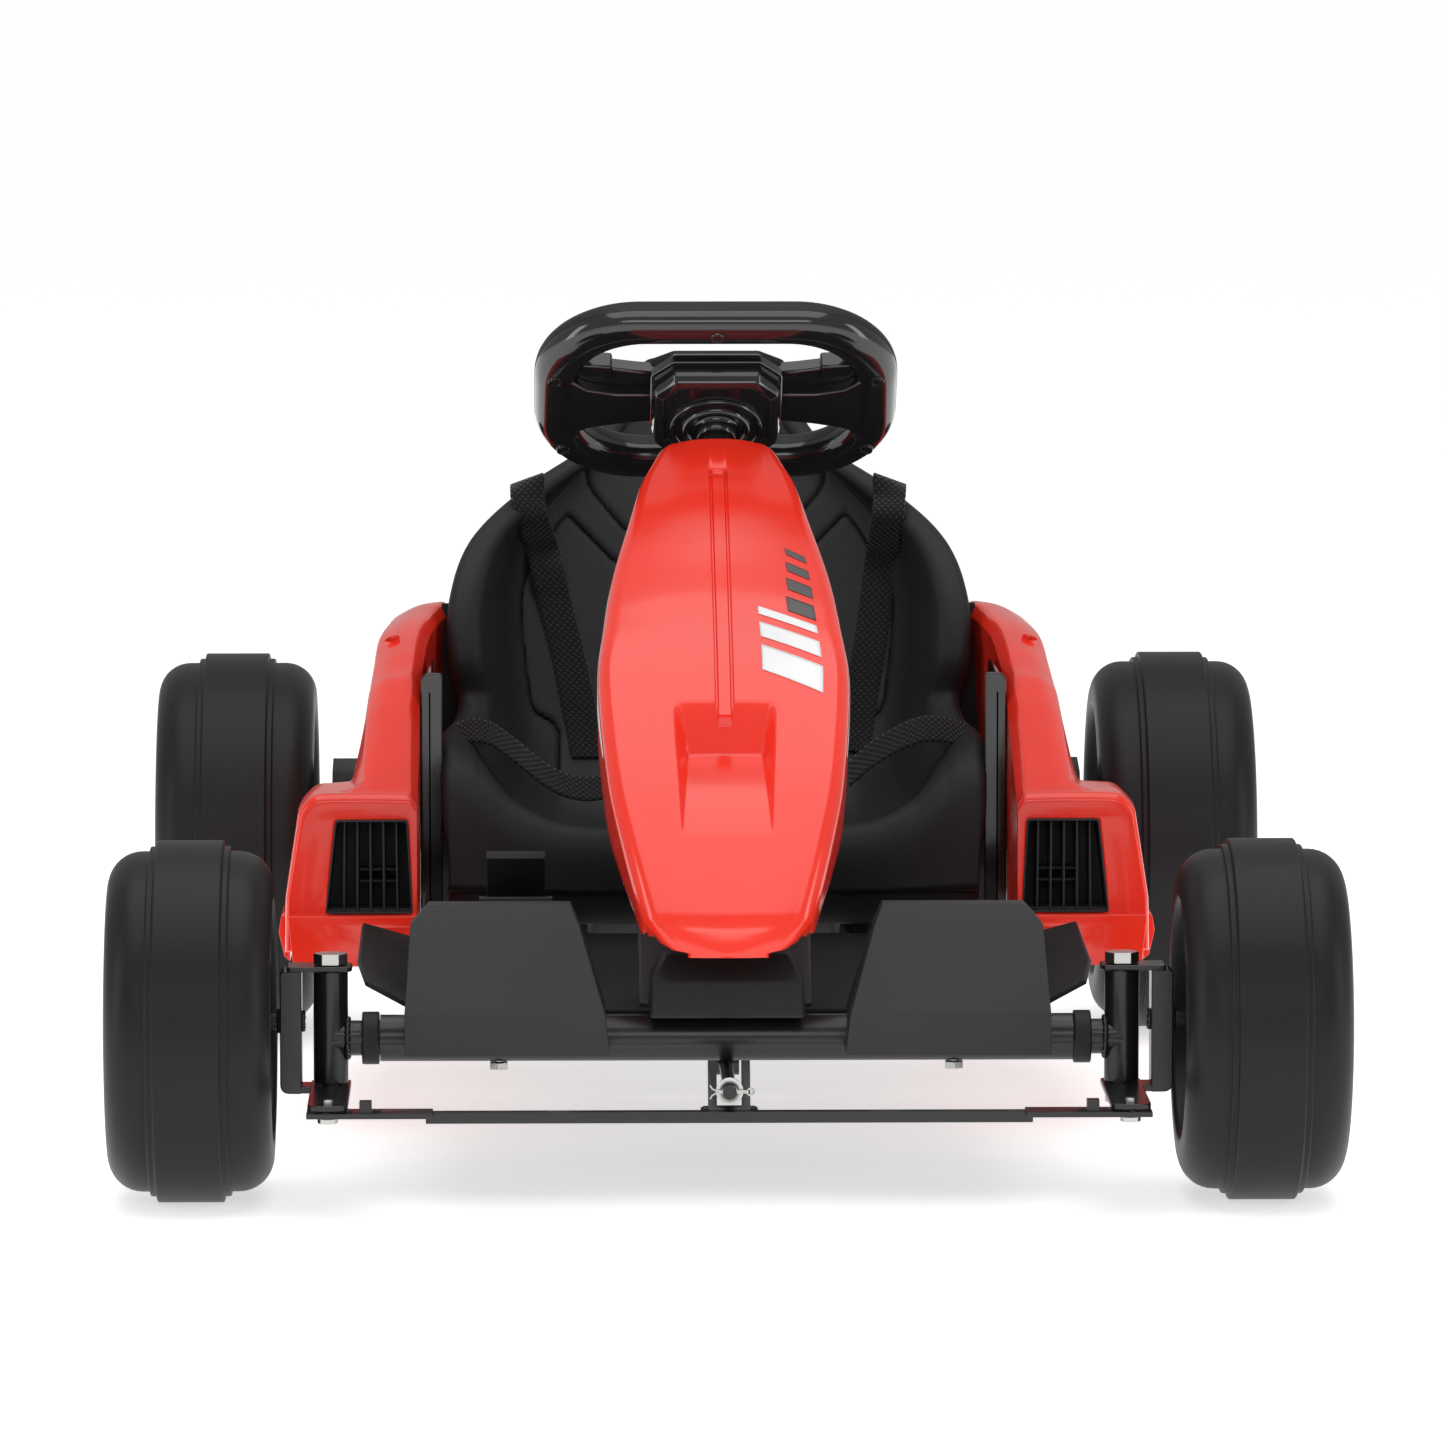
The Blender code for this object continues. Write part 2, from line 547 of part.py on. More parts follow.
def build_bumper_block(side, sign):
    """Wedge-shaped bumper block clamped over the cross tube, with a bolt up through the tube."""
    rows = [(0.0892, 0.0675, 0.1845, -0.045), (0.1129, 0.0700, 0.1846, -0.045),
            (0.1600, 0.0845, 0.1815, -0.014), (0.1715, 0.0895, 0.1710, -0.004)]
    rings = []
    for z, inner, outer, front in rows:
        ring = [(inner, at(front), z), (outer, at(front), z), (outer, at(0.0130), z), (inner, at(0.0130), z)]
        rings.append(mirrored(ring, sign))
    x = sign * BLOCK_BOLT_X
    block = loft("bumper_block_" + side, rings, BLACK)
    cut(block,
        rod("block_channel_" + side, (sign * 0.05, at(0), CROSS_TUBE_Z), (sign * 0.2, at(0), CROSS_TUBE_Z),
            CROSS_TUBE_RADIUS + FIT, helper=True),
        rod("block_bolt_hole_" + side, (x, at(0), 0.05), (x, at(0), 0.132), 0.0034, helper=True, sides=12))
    bolt = rod("block_bolt_" + side, (x, at(0), 0.0775), (x, at(0), 0.130), 0.0029, ZINC, sides=12)
    join(bolt, rod("block_bolt_head_" + side, (x, at(0), 0.0758), (x, at(0), 0.0800), 0.0058,
                   sides=6, helper=True))


def build_floor():
    """Shallow tray with raised side wings, open round the foot of the steering column."""
    half = [(0.0, TRAY_TOP), (0.100, TRAY_TOP), (0.180, TRAY_TOP), (0.196, 0.122), (0.2120, 0.136)]
    across = [(-x, z) for x, z in reversed(half[1:])] + half
    rows = []
    stations = ((0.0155, 0.975, 0.6), (0.060, 1.0, 0.85), (0.200, 1.0, 1.0), (0.254, 0.84, 0.4),
                (0.368, 0.84, 0.4))
    for d, scale, lift in stations:
        rows.append([(x * scale, at(d), TRAY_TOP + (z - TRAY_TOP) * lift) for x, z in reversed(across)])
    tray = sheet("floor_tray", rows, WALL, BLACK)
    cut(tray, box("tray_column_slot", (-0.022, at(0.030), 0.09), (0.022, at(0.090), 0.13), helper=True))
    base = box("pedal_base", (-0.143, at(0.147), TRAY_TOP + 0.0006), (-0.100, at(0.245), 0.157), BLACK)
    cut(base, box("pedal_bay", (-0.1395, at(0.153), 0.126), (-0.1035, at(0.26), 0.17), helper=True))
    pivot_y, pivot_z = at(0.232), 0.136
    cheek = prism("pedal_cheek_cut", [(-0.079, 0.0215), (0.02, -0.002), (0.02, 0.05), (-0.079, 0.05)], 0.1,
                  frame_x(-0.12, pivot_y, pivot_z), helper=True)
    pin_z = pivot_z - 0.002
    cut(base, cheek, rod("pedal_pin_hole", (-0.15, pivot_y, pin_z), (-0.09, pivot_y, pin_z), 0.0028,
                         sides=12, helper=True))
    slope = math.radians(33)
    frame = Matrix.Translation((-0.1215, pivot_y, pivot_z)) @ Matrix.Rotation(-slope, 4, "X")
    pedal = box("accelerator_pedal", (-0.0172, -0.078, -0.0005), (0.0172, 0.006, 0.0045), BLACK, frame)
    pin = rod("pedal_pin", (-0.1427, pivot_y, pin_z), (-0.1003, pivot_y, pin_z), 0.0024,
              sides=12, helper=True)
    join(pedal, pin)


# ---------------------------------------------------------------- seat
SEAT_ROWS = [  # centre distance and height, then the edge's half width, distance and height
    ((0.372, 0.135), (0.1600, 0.376, 0.135)), ((0.375, 0.160), (0.1620, 0.395, 0.196)),
    ((0.392, 0.166), (0.1630, 0.420, 0.212)), ((0.450, 0.151), (0.1640, 0.455, 0.214)),
    ((0.520, 0.146), (0.1640, 0.500, 0.216)), ((0.575, 0.158), (0.1600, 0.535, 0.222)),
    ((0.610, 0.200), (0.1580, 0.555, 0.236)), ((0.632, 0.250), (0.1650, 0.550, 0.262)),
    ((0.655, 0.300), (0.1650, 0.565, 0.298)), ((0.675, 0.340), (0.1520, 0.600, 0.332)),
    ((0.690, 0.368), (0.1150, 0.650, 0.360)), ((0.703, 0.393), (0.0800, 0.685, 0.384)),
    ((0.716, 0.420), (0.0540, 0.708, 0.412)), ((0.727, 0.440), (0.0480, 0.722, 0.432))]
SEAT_SPREAD = [(0.0, 0.0), (0.35, 0.03), (0.62, 0.16), (0.82, 0.48), (0.94, 0.85), (1.0, 1.0)]


def seat_point(row, across):
    """The seat's inner surface, row along it from the front lip and across from -1 to 1."""
    low = min(int(row), len(SEAT_ROWS) - 2)
    share = row - low
    (cd, cz), (w, ed, ez) = [
        [a + (b - a) * share for a, b in zip(one, two)]
        for one, two in zip(SEAT_ROWS[low], SEAT_ROWS[low + 1])]
    size = abs(across)
    for (f0, g0), (f1, g1) in zip(SEAT_SPREAD, SEAT_SPREAD[1:]):
        if size <= f1:
            lean = g0 + (g1 - g0) * (size - f0) / (f1 - f0)
            break
    return Vector((across * w, at(cd + (ed - cd) * lean), cz + (ez - cz) * lean))


def build_seat():
    spread = [-f for f, _ in reversed(SEAT_SPREAD[1:])] + [f for f, _ in SEAT_SPREAD]
    rows = [[seat_point(row, across) for across in spread] for row in range(len(SEAT_ROWS))]
    sheet("seat_shell", rows, 0.004, BLACK)
    base = box("seat_base", (-0.164, at(0.380), 0.1115), (0.164, at(0.600), 0.1385), BLACK)
    cut(base, box("base_hollow", (-0.161, at(0.383), 0.10), (0.161, at(0.597), 0.1355), helper=True))
    soften(box("battery_case", (-0.078, at(0.400), 0.050), (0.078, at(0.558), 0.1350), GREY), 0.004, 1)
    soften(box("controller_box", (-0.045, at(0.605), 0.082), (0.045, at(0.652), 0.112), BLACK), 0.002, 1)
    for side, sign in SIDES:
        rod("seat_strut_" + side, (sign * 0.060, REAR_TUBE_Y, RAIL_Z + RAIL_RADIUS + GAP),
            (sign * 0.060, at(0.672), 0.300), 0.006, STEEL, sides=12)
        build_straps(side, sign)


def build_straps(side, sign):
    """Shoulder strap down the seat back and lap belt across the seat's side, as plain flat solids."""
    half = 0.011
    shoulder = []
    path = ((9.6, 0.80), (9.0, 0.72), (8.0, 0.60), (7.0, 0.55), (6.0, 0.53), (5.2, 0.50), (4.6, 0.46))
    for row, across in path:
        shoulder.append([seat_point(row, sign * (across + edge)) + Vector((0, -0.011, 0.008))
                         for edge in (-0.07, 0.07)])
    sheet("shoulder_strap_" + side, shoulder, 0.0016, WEB, offset=0)
    lap = []
    for x, d, z in ((0.1660, 0.500, 0.2235), (0.1400, 0.490, 0.2235), (0.1120, 0.475, 0.2000),
                    (0.0940, 0.465, 0.1870), (0.0660, 0.460, 0.1880)):
        spot = Vector((sign * x, at(d), z))
        lap.append([spot + Vector((0, -sign * half, 0)), spot + Vector((0, sign * half, 0))])
    sheet("lap_belt_" + side, lap, 0.0016, WEB, offset=0)


# ---------------------------------------------------------------- side pods
POD_SECTIONS = [  # distance behind the front axle, then x and height round the section from the inner foot
    (0.2750, ((0.1815, 0.110), (0.1815, 0.193), (0.1855, 0.1985), (0.2050, 0.1990), (0.2220, 0.1990),
              (0.2320, 0.1990), (0.2420, 0.1985), (0.2500, 0.190), (0.2585, 0.140), (0.2590, 0.110))),
    (0.2810, ((0.1810, 0.108), (0.1810, 0.197), (0.1855, 0.2040), (0.2050, 0.2045), (0.2220, 0.2045),
              (0.2320, 0.2045), (0.2440, 0.2040), (0.2525, 0.195), (0.2610, 0.140), (0.2615, 0.108))),
    (0.3000, ((0.1810, 0.108), (0.1810, 0.205), (0.1865, 0.2125), (0.2050, 0.2135), (0.2135, 0.2110),
              (0.2195, 0.2055), (0.2440, 0.2048), (0.2530, 0.196), (0.2615, 0.140), (0.2620, 0.108))),
    (0.3350, ((0.1810, 0.108), (0.1810, 0.219), (0.1865, 0.2275), (0.2060, 0.2285), (0.2140, 0.2240),
              (0.2215, 0.2055), (0.2435, 0.2045), (0.2525, 0.195), (0.2610, 0.140), (0.2615, 0.108))),
    (0.3800, ((0.1810, 0.108), (0.1810, 0.237), (0.1865, 0.2465), (0.2060, 0.2460), (0.2135, 0.2400),
              (0.2225, 0.2010), (0.2420, 0.1990), (0.2505, 0.189), (0.2590, 0.140), (0.2600, 0.108))),
    (0.4200, ((0.1810, 0.108), (0.1810, 0.253), (0.1865, 0.2625), (0.2040, 0.2600), (0.2125, 0.2525),
              (0.2215, 0.1960), (0.2400, 0.1930), (0.2485, 0.183), (0.2570, 0.140), (0.2580, 0.108))),
    (0.4700, ((0.1805, 0.108), (0.1795, 0.265), (0.1850, 0.2745), (0.2010, 0.2720), (0.2105, 0.2640),
              (0.2205, 0.1900), (0.2370, 0.1860), (0.2455, 0.176), (0.2530, 0.135), (0.2540, 0.108))),
    (0.5200, ((0.1800, 0.108), (0.1765, 0.276), (0.1820, 0.2845), (0.1975, 0.2825), (0.2085, 0.2760),
              (0.2190, 0.1840), (0.2330, 0.1790), (0.2410, 0.168), (0.2480, 0.135), (0.2490, 0.108))),
    (0.5700, ((0.1790, 0.115), (0.1705, 0.281), (0.1750, 0.2895), (0.1890, 0.2885), (0.2040, 0.2800),
              (0.2140, 0.1780), (0.2260, 0.1730), (0.2330, 0.160), (0.2370, 0.135), (0.2360, 0.115))),
    (0.6000, ((0.1785, 0.127), (0.1630, 0.284), (0.1675, 0.2920), (0.1850, 0.2900), (0.2010, 0.2810),
              (0.2090, 0.1840), (0.2190, 0.1765), (0.2250, 0.165), (0.2280, 0.145), (0.2270, 0.127))),
    (0.6280, ((0.1780, 0.140), (0.1640, 0.281), (0.1685, 0.2885), (0.1840, 0.2870), (0.1980, 0.2790),
              (0.2040, 0.1900), (0.2120, 0.1800), (0.2170, 0.170), (0.2190, 0.155), (0.2180, 0.140)))]
VENT = [(0.1840, 0.1318), (0.1870, 0.1887), (0.2305, 0.1887), (0.2368, 0.1318)]
SKIRT = [(0.1815, 0.1315), (0.1815, 0.1250), (0.2075, 0.1245), (0.2130, 0.1218), (0.2155, 0.1160),
         (0.2155, 0.1010), (0.2560, 0.1010), (0.2592, 0.1315)]


def inset_section(section, inset):
    """The section moved inward by inset along its own faces, its two ends carried on below the foot."""
    points = [Vector(p) for p in section]
    moved = []
    for k, point in enumerate(points):
        sides = [(b - a).normalized() for a, b in zip(points[max(k - 1, 0):k + 1], points[k:k + 2])]
        normals = [Vector((side.y, -side.x)) for side in sides]
        lean = sum(normals, Vector((0, 0))).normalized()
        moved.append(point + lean * inset / max(lean.dot(normals[0]), 0.5))
    moved[0].y -= 0.03
    moved[-1].y -= 0.03
    return moved


def pod_ring(section, sign, d, inset):
    points = inset_section(section, inset) if inset else section
    return [(sign * x, at(d), z) for x, z in points]


def build_pods():
    for side, sign in SIDES:
        pod = loft("side_pod_" + side, [pod_ring(s, sign, d, 0) for d, s in POD_SECTIONS], RED)
        hollow = [pod_ring(s, sign, d, WALL) for d, s in POD_SECTIONS]
        hollow[0] = [(x, at(0.2785), z) for x, _, z in hollow[0]]
        hollow[-1] = [(x, at(0.640), z) for x, _, z in hollow[-1]]
        front = frame_y(0, at(0.27), 0)
        cut(pod, loft("pod_hollow_" + side, hollow, helper=True),
            prism("pod_vent_" + side, [(sign * x, z) for x, z in VENT], 0.03, front, helper=True))
        join(pod, prism("pod_skirt_" + side, [(sign * x, z) for x, z in SKIRT], 0.011,
                        frame_y(0, at(0.2700), 0), helper=True))
        build_grille(side, sign)
        wall = sorted((sign * 0.1735, sign * 0.1765))
        guard = box("guard_panel_" + side, (wall[0], at(0.400), 0.112), (wall[1], at(0.500), 0.262), GLOSS)
        flange = sorted((sign * 0.1672, sign * 0.1806))
        join(guard, box("guard_flange_" + side, (flange[0], at(0.4000), 0.112), (flange[1], at(0.4026), 0.260),
                        helper=True))


def build_grille(side, sign):
    """Louvre box behind the pod's front opening: six blind gaps between upright fins."""
    low, high = 0.1848, 0.2372
    plate = sorted((sign * low, sign * high))
    grille = box("vent_grille_" + side, (plate[0], at(0.3060), 0.1300), (plate[1], at(0.2790), 0.1900), BLACK)
    slots, fin = 6, 0.0014
    pitch = (high - low - fin) / slots
    for i in range(slots):
        x0 = low + fin + i * pitch
        slot = sorted((sign * x0, sign * (x0 + pitch - fin)))
        cut(grille, box("grille_slot_%s_%d" % (side, i), (slot[0], at(0.3030), 0.1318),
                        (slot[1], at(0.27), 0.1882), helper=True))


# ---------------------------------------------------------------- steering wheel
RIM_HALF_WIDTH = 0.0975
RIM_HALF_HEIGHT = 0.0685
RIM_CORNER = 0.050
GRIP_RADIUS = 0.0125


def rim_path():
    """Rounded rectangle of the grip's centre line, in the wheel's own plane."""
    points = []
    for quarter, (sx, sy) in enumerate(((1, 1), (-1, 1), (-1, -1), (1, -1))):
        for step in range(6):
            angle = math.pi / 2 * (quarter + step / 5)
            points.append((sx * (RIM_HALF_WIDTH - RIM_CORNER) + RIM_CORNER * math.cos(angle),
                           sy * (RIM_HALF_HEIGHT - RIM_CORNER) + RIM_CORNER * math.sin(angle)))
    return points


def build_steering_wheel():
    frame = column_frame(0)
    ring = [frame @ Vector((x, y, 0)) for x, y in rim_path()]
    wheel = bar("steering_wheel", ring, GRIP_RADIUS, GLOSS, resolution=2, closed=True)
    plate = box("wheel_plate", (-0.040, -0.028, -0.004), (0.040, 0.026, 0.008), turn=frame, helper=True)
    join(wheel, plate)
    for side, sign in SIDES:
        spoke = sorted((sign * 0.036, sign * 0.094))
        join(wheel, box("wheel_spoke_" + side, (spoke[0], -0.030, -0.007), (spoke[1], 0.018, 0.007),
                        turn=frame, helper=True))
    cut(wheel, rod("horn_recess", frame @ Vector((0, 0, 0.003)), frame @ Vector((0, 0, 0.03)), 0.0146,
                   sides=20, helper=True))
    rod("horn_button", frame @ Vector((0, 0, 0.0058)), frame @ Vector((0, 0, 0.0115)), 0.014, GREY, sides=20)
    outline = [(-0.039, -0.018), (-0.030, -0.030), (0.030, -0.030), (0.039, -0.018), (0.039, 0.036),
               (0.026, 0.048), (-0.026, 0.048), (-0.039, 0.036)]
    hub = prism("steering_hub", outline, 0.0205, column_frame(0.0185), BLACK)
    join(hub, rod("hub_boss", HUB - COLUMN_UP * 0.020, HUB - COLUMN_UP * 0.0365, 0.0122, sides=24, helper=True))
    cut(hub, rod("hub_bore", on_column(0.40), HUB - COLUMN_UP * 0.0075, COLUMN_RADIUS + GAP,
                 sides=20, helper=True))


build_frame()
build_steering_linkage()
build_wheels_and_drive()
build_nose()
build_floor()
build_seat()
build_pods()
build_steering_wheel()
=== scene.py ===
"""Looks for the child's electric kart: camera, light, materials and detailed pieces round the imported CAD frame.

The kart faces -Y and its own left side is +X. Metres throughout. Places along the kart are given as distances
behind the front axle, and at() turns them into world y.
"""
import json
import math

import bmesh
import bpy
from mathutils import Matrix, Vector


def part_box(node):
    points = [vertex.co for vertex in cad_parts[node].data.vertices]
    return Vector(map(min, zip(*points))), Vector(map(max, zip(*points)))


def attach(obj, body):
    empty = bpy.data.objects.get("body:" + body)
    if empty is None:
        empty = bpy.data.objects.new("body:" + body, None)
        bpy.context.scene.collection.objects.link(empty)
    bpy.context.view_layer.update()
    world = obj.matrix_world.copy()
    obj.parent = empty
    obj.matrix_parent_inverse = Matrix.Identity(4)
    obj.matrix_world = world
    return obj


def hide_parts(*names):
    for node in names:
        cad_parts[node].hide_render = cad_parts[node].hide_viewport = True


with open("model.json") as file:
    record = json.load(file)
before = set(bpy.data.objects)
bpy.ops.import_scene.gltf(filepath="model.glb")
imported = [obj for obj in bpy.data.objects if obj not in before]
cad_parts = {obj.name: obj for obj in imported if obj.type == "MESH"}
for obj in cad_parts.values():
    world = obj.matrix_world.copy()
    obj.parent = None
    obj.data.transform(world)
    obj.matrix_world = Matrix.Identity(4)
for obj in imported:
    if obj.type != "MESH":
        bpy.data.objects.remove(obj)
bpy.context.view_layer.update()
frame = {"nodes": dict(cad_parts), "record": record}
NODES = frame["nodes"]
BODY_OF = {node: body for body, group in frame["record"]["behaviour"]["bodies"].items() for node in group}
SIDES = (("left", 1), ("right", -1))
SHELL_WALL = 0.0026  # thickness of the fairing and the pods
SEAT_WALL = 0.0034


def corners_of(node):
    """Lowest and highest corner of a CAD node's box."""
    return [Vector(corner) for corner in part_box(node)]


def middle(node):
    """Centre of a CAD node's box."""
    low, high = corners_of(node)
    return (low + high) / 2


FRONT_AXLE = middle("wheel_front_left")
COLUMN_LEAN = math.radians(50)
COLUMN_UP = Vector((0, math.cos(COLUMN_LEAN), math.sin(COLUMN_LEAN)))
COLUMN_FRONT = Vector((0, -math.sin(COLUMN_LEAN), math.cos(COLUMN_LEAN)))
BUTTON_RISE = 0.00865  # the horn button's middle above the steering wheel's own plane
HUB = middle("horn_button") - COLUMN_UP * BUTTON_RISE


def at(d):
    """World y of a place d behind the front axle."""
    return FRONT_AXLE.y + d


# ---------------------------------------------------------------- stage
def build_stage():
    """White floor and world, four area lamps, and a long lens in front."""
    scene = bpy.context.scene
    scene.view_settings.view_transform = "Standard"
    floor_mesh = bpy.data.meshes.new("floor")
    reach = 40.0
    floor_mesh.from_pydata(
        [(-reach, -reach, 0), (reach, -reach, 0), (reach, reach, 0), (-reach, reach, 0)], [], [(0, 1, 2, 3)])
    floor = bpy.data.objects.new("floor", floor_mesh)
    scene.collection.objects.link(floor)
    white = shader("floor_white", (0.93, 0.93, 0.93), 0.9)
    white.node_tree.nodes["Principled BSDF"].inputs["Emission Color"].default_value = (1, 1, 1, 1)
    white.node_tree.nodes["Principled BSDF"].inputs["Emission Strength"].default_value = 0.60
    floor_mesh.materials.append(white)

    world = bpy.data.worlds.new("studio")
    world.use_nodes = True
    world.node_tree.nodes["Background"].inputs["Color"].default_value = (1, 1, 1, 1)
    world.node_tree.nodes["Background"].inputs["Strength"].default_value = 0.42
    scene.world = world

    lamps = (
        ("overhead", (0.0, -0.64, 3.2), (0, -0.64, 0), 3.4, 3.95, 62),
        ("front_low", (0.0, -5.2, 2.2), (0, 0, 0.25), 3.2, 1.0, 26),
        ("left_strip", (-3.2, -1.2, 1.1), (0, 0, 0.25), 0.7, 2.2, 16),
        ("right_strip", (3.2, -1.2, 1.1), (0, 0, 0.25), 0.7, 2.2, 16),
    )
    for name, spot, aim, wide, tall, power in lamps:
        lamp = bpy.data.lights.new(name, "AREA")
        lamp.shape = "RECTANGLE"
        lamp.size = wide
        lamp.size_y = tall
        lamp.energy = power
        made = bpy.data.objects.new(name, lamp)
        made.location = spot
        made.rotation_euler = (Vector(aim) - Vector(spot)).to_track_quat("-Z", "Y").to_euler()
        scene.collection.objects.link(made)

    lens = bpy.data.cameras.new("camera")
    lens.lens = 232.9
    lens.sensor_width = 36.0
    lens.clip_end = 200
    camera = bpy.data.objects.new("camera", lens)
    camera.location = (-0.105, -5.71, 0.826)
    aim = Vector((-0.0023, -0.379, 0.2759))
    camera.rotation_euler = (aim - camera.location).to_track_quat("-Z", "Y").to_euler()
    scene.collection.objects.link(camera)
    scene.camera = camera


# ---------------------------------------------------------------- materials
GRAIN_DEPTH = 0.0004
MOTTLE_SCALE = 14
WEAVE_SCALE = 640.0 / 6.2832  # bands of the webbing's weave, one way


def add_noise(made, place, scale, detail):
    """Noise over the object's own coordinates; returns its output."""
    noise = made.node_tree.nodes.new("ShaderNodeTexNoise")
    noise.inputs["Scale"].default_value = scale
    noise.inputs["Detail"].default_value = detail
    made.node_tree.links.new(place.outputs["Object"], noise.inputs["Vector"])
    return noise.outputs["Fac"]


def add_bump(made, height, strength, distance):
    """Bump from a height output."""
    bump = made.node_tree.nodes.new("ShaderNodeBump")
    bump.inputs["Strength"].default_value = strength
    bump.inputs["Distance"].default_value = distance
    made.node_tree.links.new(height, bump.inputs["Height"])
    made.node_tree.links.new(bump.outputs["Normal"], made.node_tree.nodes["Principled BSDF"].inputs["Normal"])


def add_tint(made, share, dark, light):
    """Base colour that runs from dark to light with a share output."""
    tint = made.node_tree.nodes.new("ShaderNodeMix")
    tint.data_type = "RGBA"
    tint.inputs["A"].default_value = (*dark, 1)
    tint.inputs["B"].default_value = (*light, 1)
    made.node_tree.links.new(share, tint.inputs["Factor"])
    made.node_tree.links.new(tint.outputs["Result"], made.node_tree.nodes["Principled BSDF"].inputs["Base Color"])


def shader(name, color, roughness, metallic=0.0, grain=0.0, grain_size=1500.0, mottle=0.0, coat=0.0):
    """Moulded or painted surface: a fine grain in the bump and a slow mottle in colour and roughness."""
    made = bpy.data.materials.new(name)
    made.use_nodes = True
    made.diffuse_color = (*color, 1)
    nodes, links = made.node_tree.nodes, made.node_tree.links
    main = nodes["Principled BSDF"]
    main.inputs["Base Color"].default_value = (*color, 1)
    main.inputs["Roughness"].default_value = roughness
    main.inputs["Metallic"].default_value = metallic
    main.inputs["Coat Weight"].default_value = coat
    main.inputs["Coat Roughness"].default_value = 0.06
    if roughness > 0.38 and not metallic:  # matt plastic, which shines less than its roughness alone gives
        main.inputs["Specular IOR Level"].default_value = 0.22
    place = nodes.new("ShaderNodeTexCoord")
    if mottle:
        slow = add_noise(made, place, MOTTLE_SCALE, 4)
        level = nodes.new("ShaderNodeMapRange")
        level.inputs["To Min"].default_value = max(roughness - mottle, 0.03)
        level.inputs["To Max"].default_value = roughness + mottle
        links.new(slow, level.inputs["Value"])
        links.new(level.outputs["Result"], main.inputs["Roughness"])
        add_tint(made, slow, [c * 0.86 for c in color], [min(c * 1.12, 1) for c in color])
    if grain:
        add_bump(made, add_noise(made, place, grain_size, 3), grain, GRAIN_DEPTH)
    return made


def webbing_shader():
    """Black woven strap: ribs both ways on the slant from the strap's own UV, which is in metres."""
    made = shader("webbing_black", (0.012, 0.012, 0.013), 0.85)
    nodes, links = made.node_tree.nodes, made.node_tree.links
    main = nodes["Principled BSDF"]
    main.inputs["Sheen Weight"].default_value = 0.25
    main.inputs["Sheen Roughness"].default_value = 0.4
    uv = nodes.new("ShaderNodeUVMap")
    uv.uv_map = "strap"
    both = nodes.new("ShaderNodeMath")
    both.operation = "MULTIPLY"
    for i, turn in enumerate((45.0, -45.0)):
        spin = nodes.new("ShaderNodeMapping")
        spin.inputs["Rotation"].default_value = (0, 0, math.radians(turn))
        links.new(uv.outputs["UV"], spin.inputs["Vector"])
        wave = nodes.new("ShaderNodeTexWave")
        wave.wave_type = "BANDS"
        wave.inputs["Scale"].default_value = WEAVE_SCALE
        wave.inputs["Distortion"].default_value = 0.0
        links.new(spin.outputs["Vector"], wave.inputs["Vector"])
        links.new(wave.outputs["Fac"], both.inputs[i])
    add_bump(made, both.outputs["Value"], 0.9, 0.0006)
    add_tint(made, both.outputs["Value"], (0.006, 0.006, 0.0065), (0.028, 0.028, 0.029))
    return made


RED = shader("red_gloss", (0.89, 0.031, 0.013), 0.20, grain=0.02, grain_size=240, mottle=0.03, coat=0.25)
BLACK = shader("black_textured", (0.016, 0.016, 0.017), 0.46, grain=0.35, grain_size=1700, mottle=0.07)
SEAT = shader("black_seat", (0.017, 0.017, 0.018), 0.5, grain=0.45, grain_size=1500, mottle=0.06)
GLOSS = shader("black_gloss", (0.009, 0.009, 0.010), 0.13, grain=0.03, grain_size=300, mottle=0.03, coat=0.5)
SLATE = shader("slate_satin", (0.034, 0.034, 0.036), 0.48, grain=0.25, grain_size=1500, mottle=0.06)
GREY = shader("grey_satin", (0.075, 0.075, 0.08), 0.42, grain=0.25, grain_size=1500, mottle=0.05)
TYRE = shader("tyre_plastic", (0.010, 0.010, 0.011), 0.42, grain=0.22, grain_size=900, mottle=0.06)
STEEL = shader("powder_coat", (0.010, 0.010, 0.011), 0.26, grain=0.12, grain_size=700, mottle=0.05)
ZINC = shader("zinc_plate", (0.55, 0.55, 0.53), 0.3, metallic=1.0, grain=0.2, grain_size=500, mottle=0.1)
DARK_STEEL = shader("dark_steel", (0.12, 0.12, 0.12), 0.35, metallic=1.0, grain=0.2, grain_size=500, mottle=0.08)
WHITE = shader("decal_white", (0.86, 0.86, 0.86), 0.3, grain=0.02, grain_size=600, mottle=0.03)
DARK = shader("decal_grey", (0.075, 0.07, 0.068), 0.35, grain=0.02, grain_size=600, mottle=0.03)
WEB = webbing_shader()
LOOKS = {"black_plastic": BLACK, "grey_plastic": GREY, "black_steel": STEEL, "zinc_steel": ZINC}


# ---------------------------------------------------------------- shape helpers
def finish_piece(obj, look, node=None, body=None, smooth=40):
    """Shades a piece, gives it its look, and hangs it on the body of the CAD node that it stands for."""
    mesh = obj.data
    mesh.materials.clear()
    mesh.materials.append(look)
    mesh.shade_smooth()
    mesh.set_sharp_from_angle(angle=math.radians(smooth))
    if node:
        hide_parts(node)
    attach(obj, body or BODY_OF[node])
    return obj


def object_of(name, work):
    """An object in the scene that takes a finished bmesh."""
    mesh = bpy.data.meshes.new(name)
    work.to_mesh(mesh)
    work.free()
    obj = bpy.data.objects.new(name, mesh)
    bpy.context.scene.collection.objects.link(obj)
    return obj


def new_object(name, builder):
    """An object whose mesh a function fills."""
    work = bmesh.new()
    builder(work)
    bmesh.ops.recalc_face_normals(work, faces=work.faces)
    return object_of(name, work)


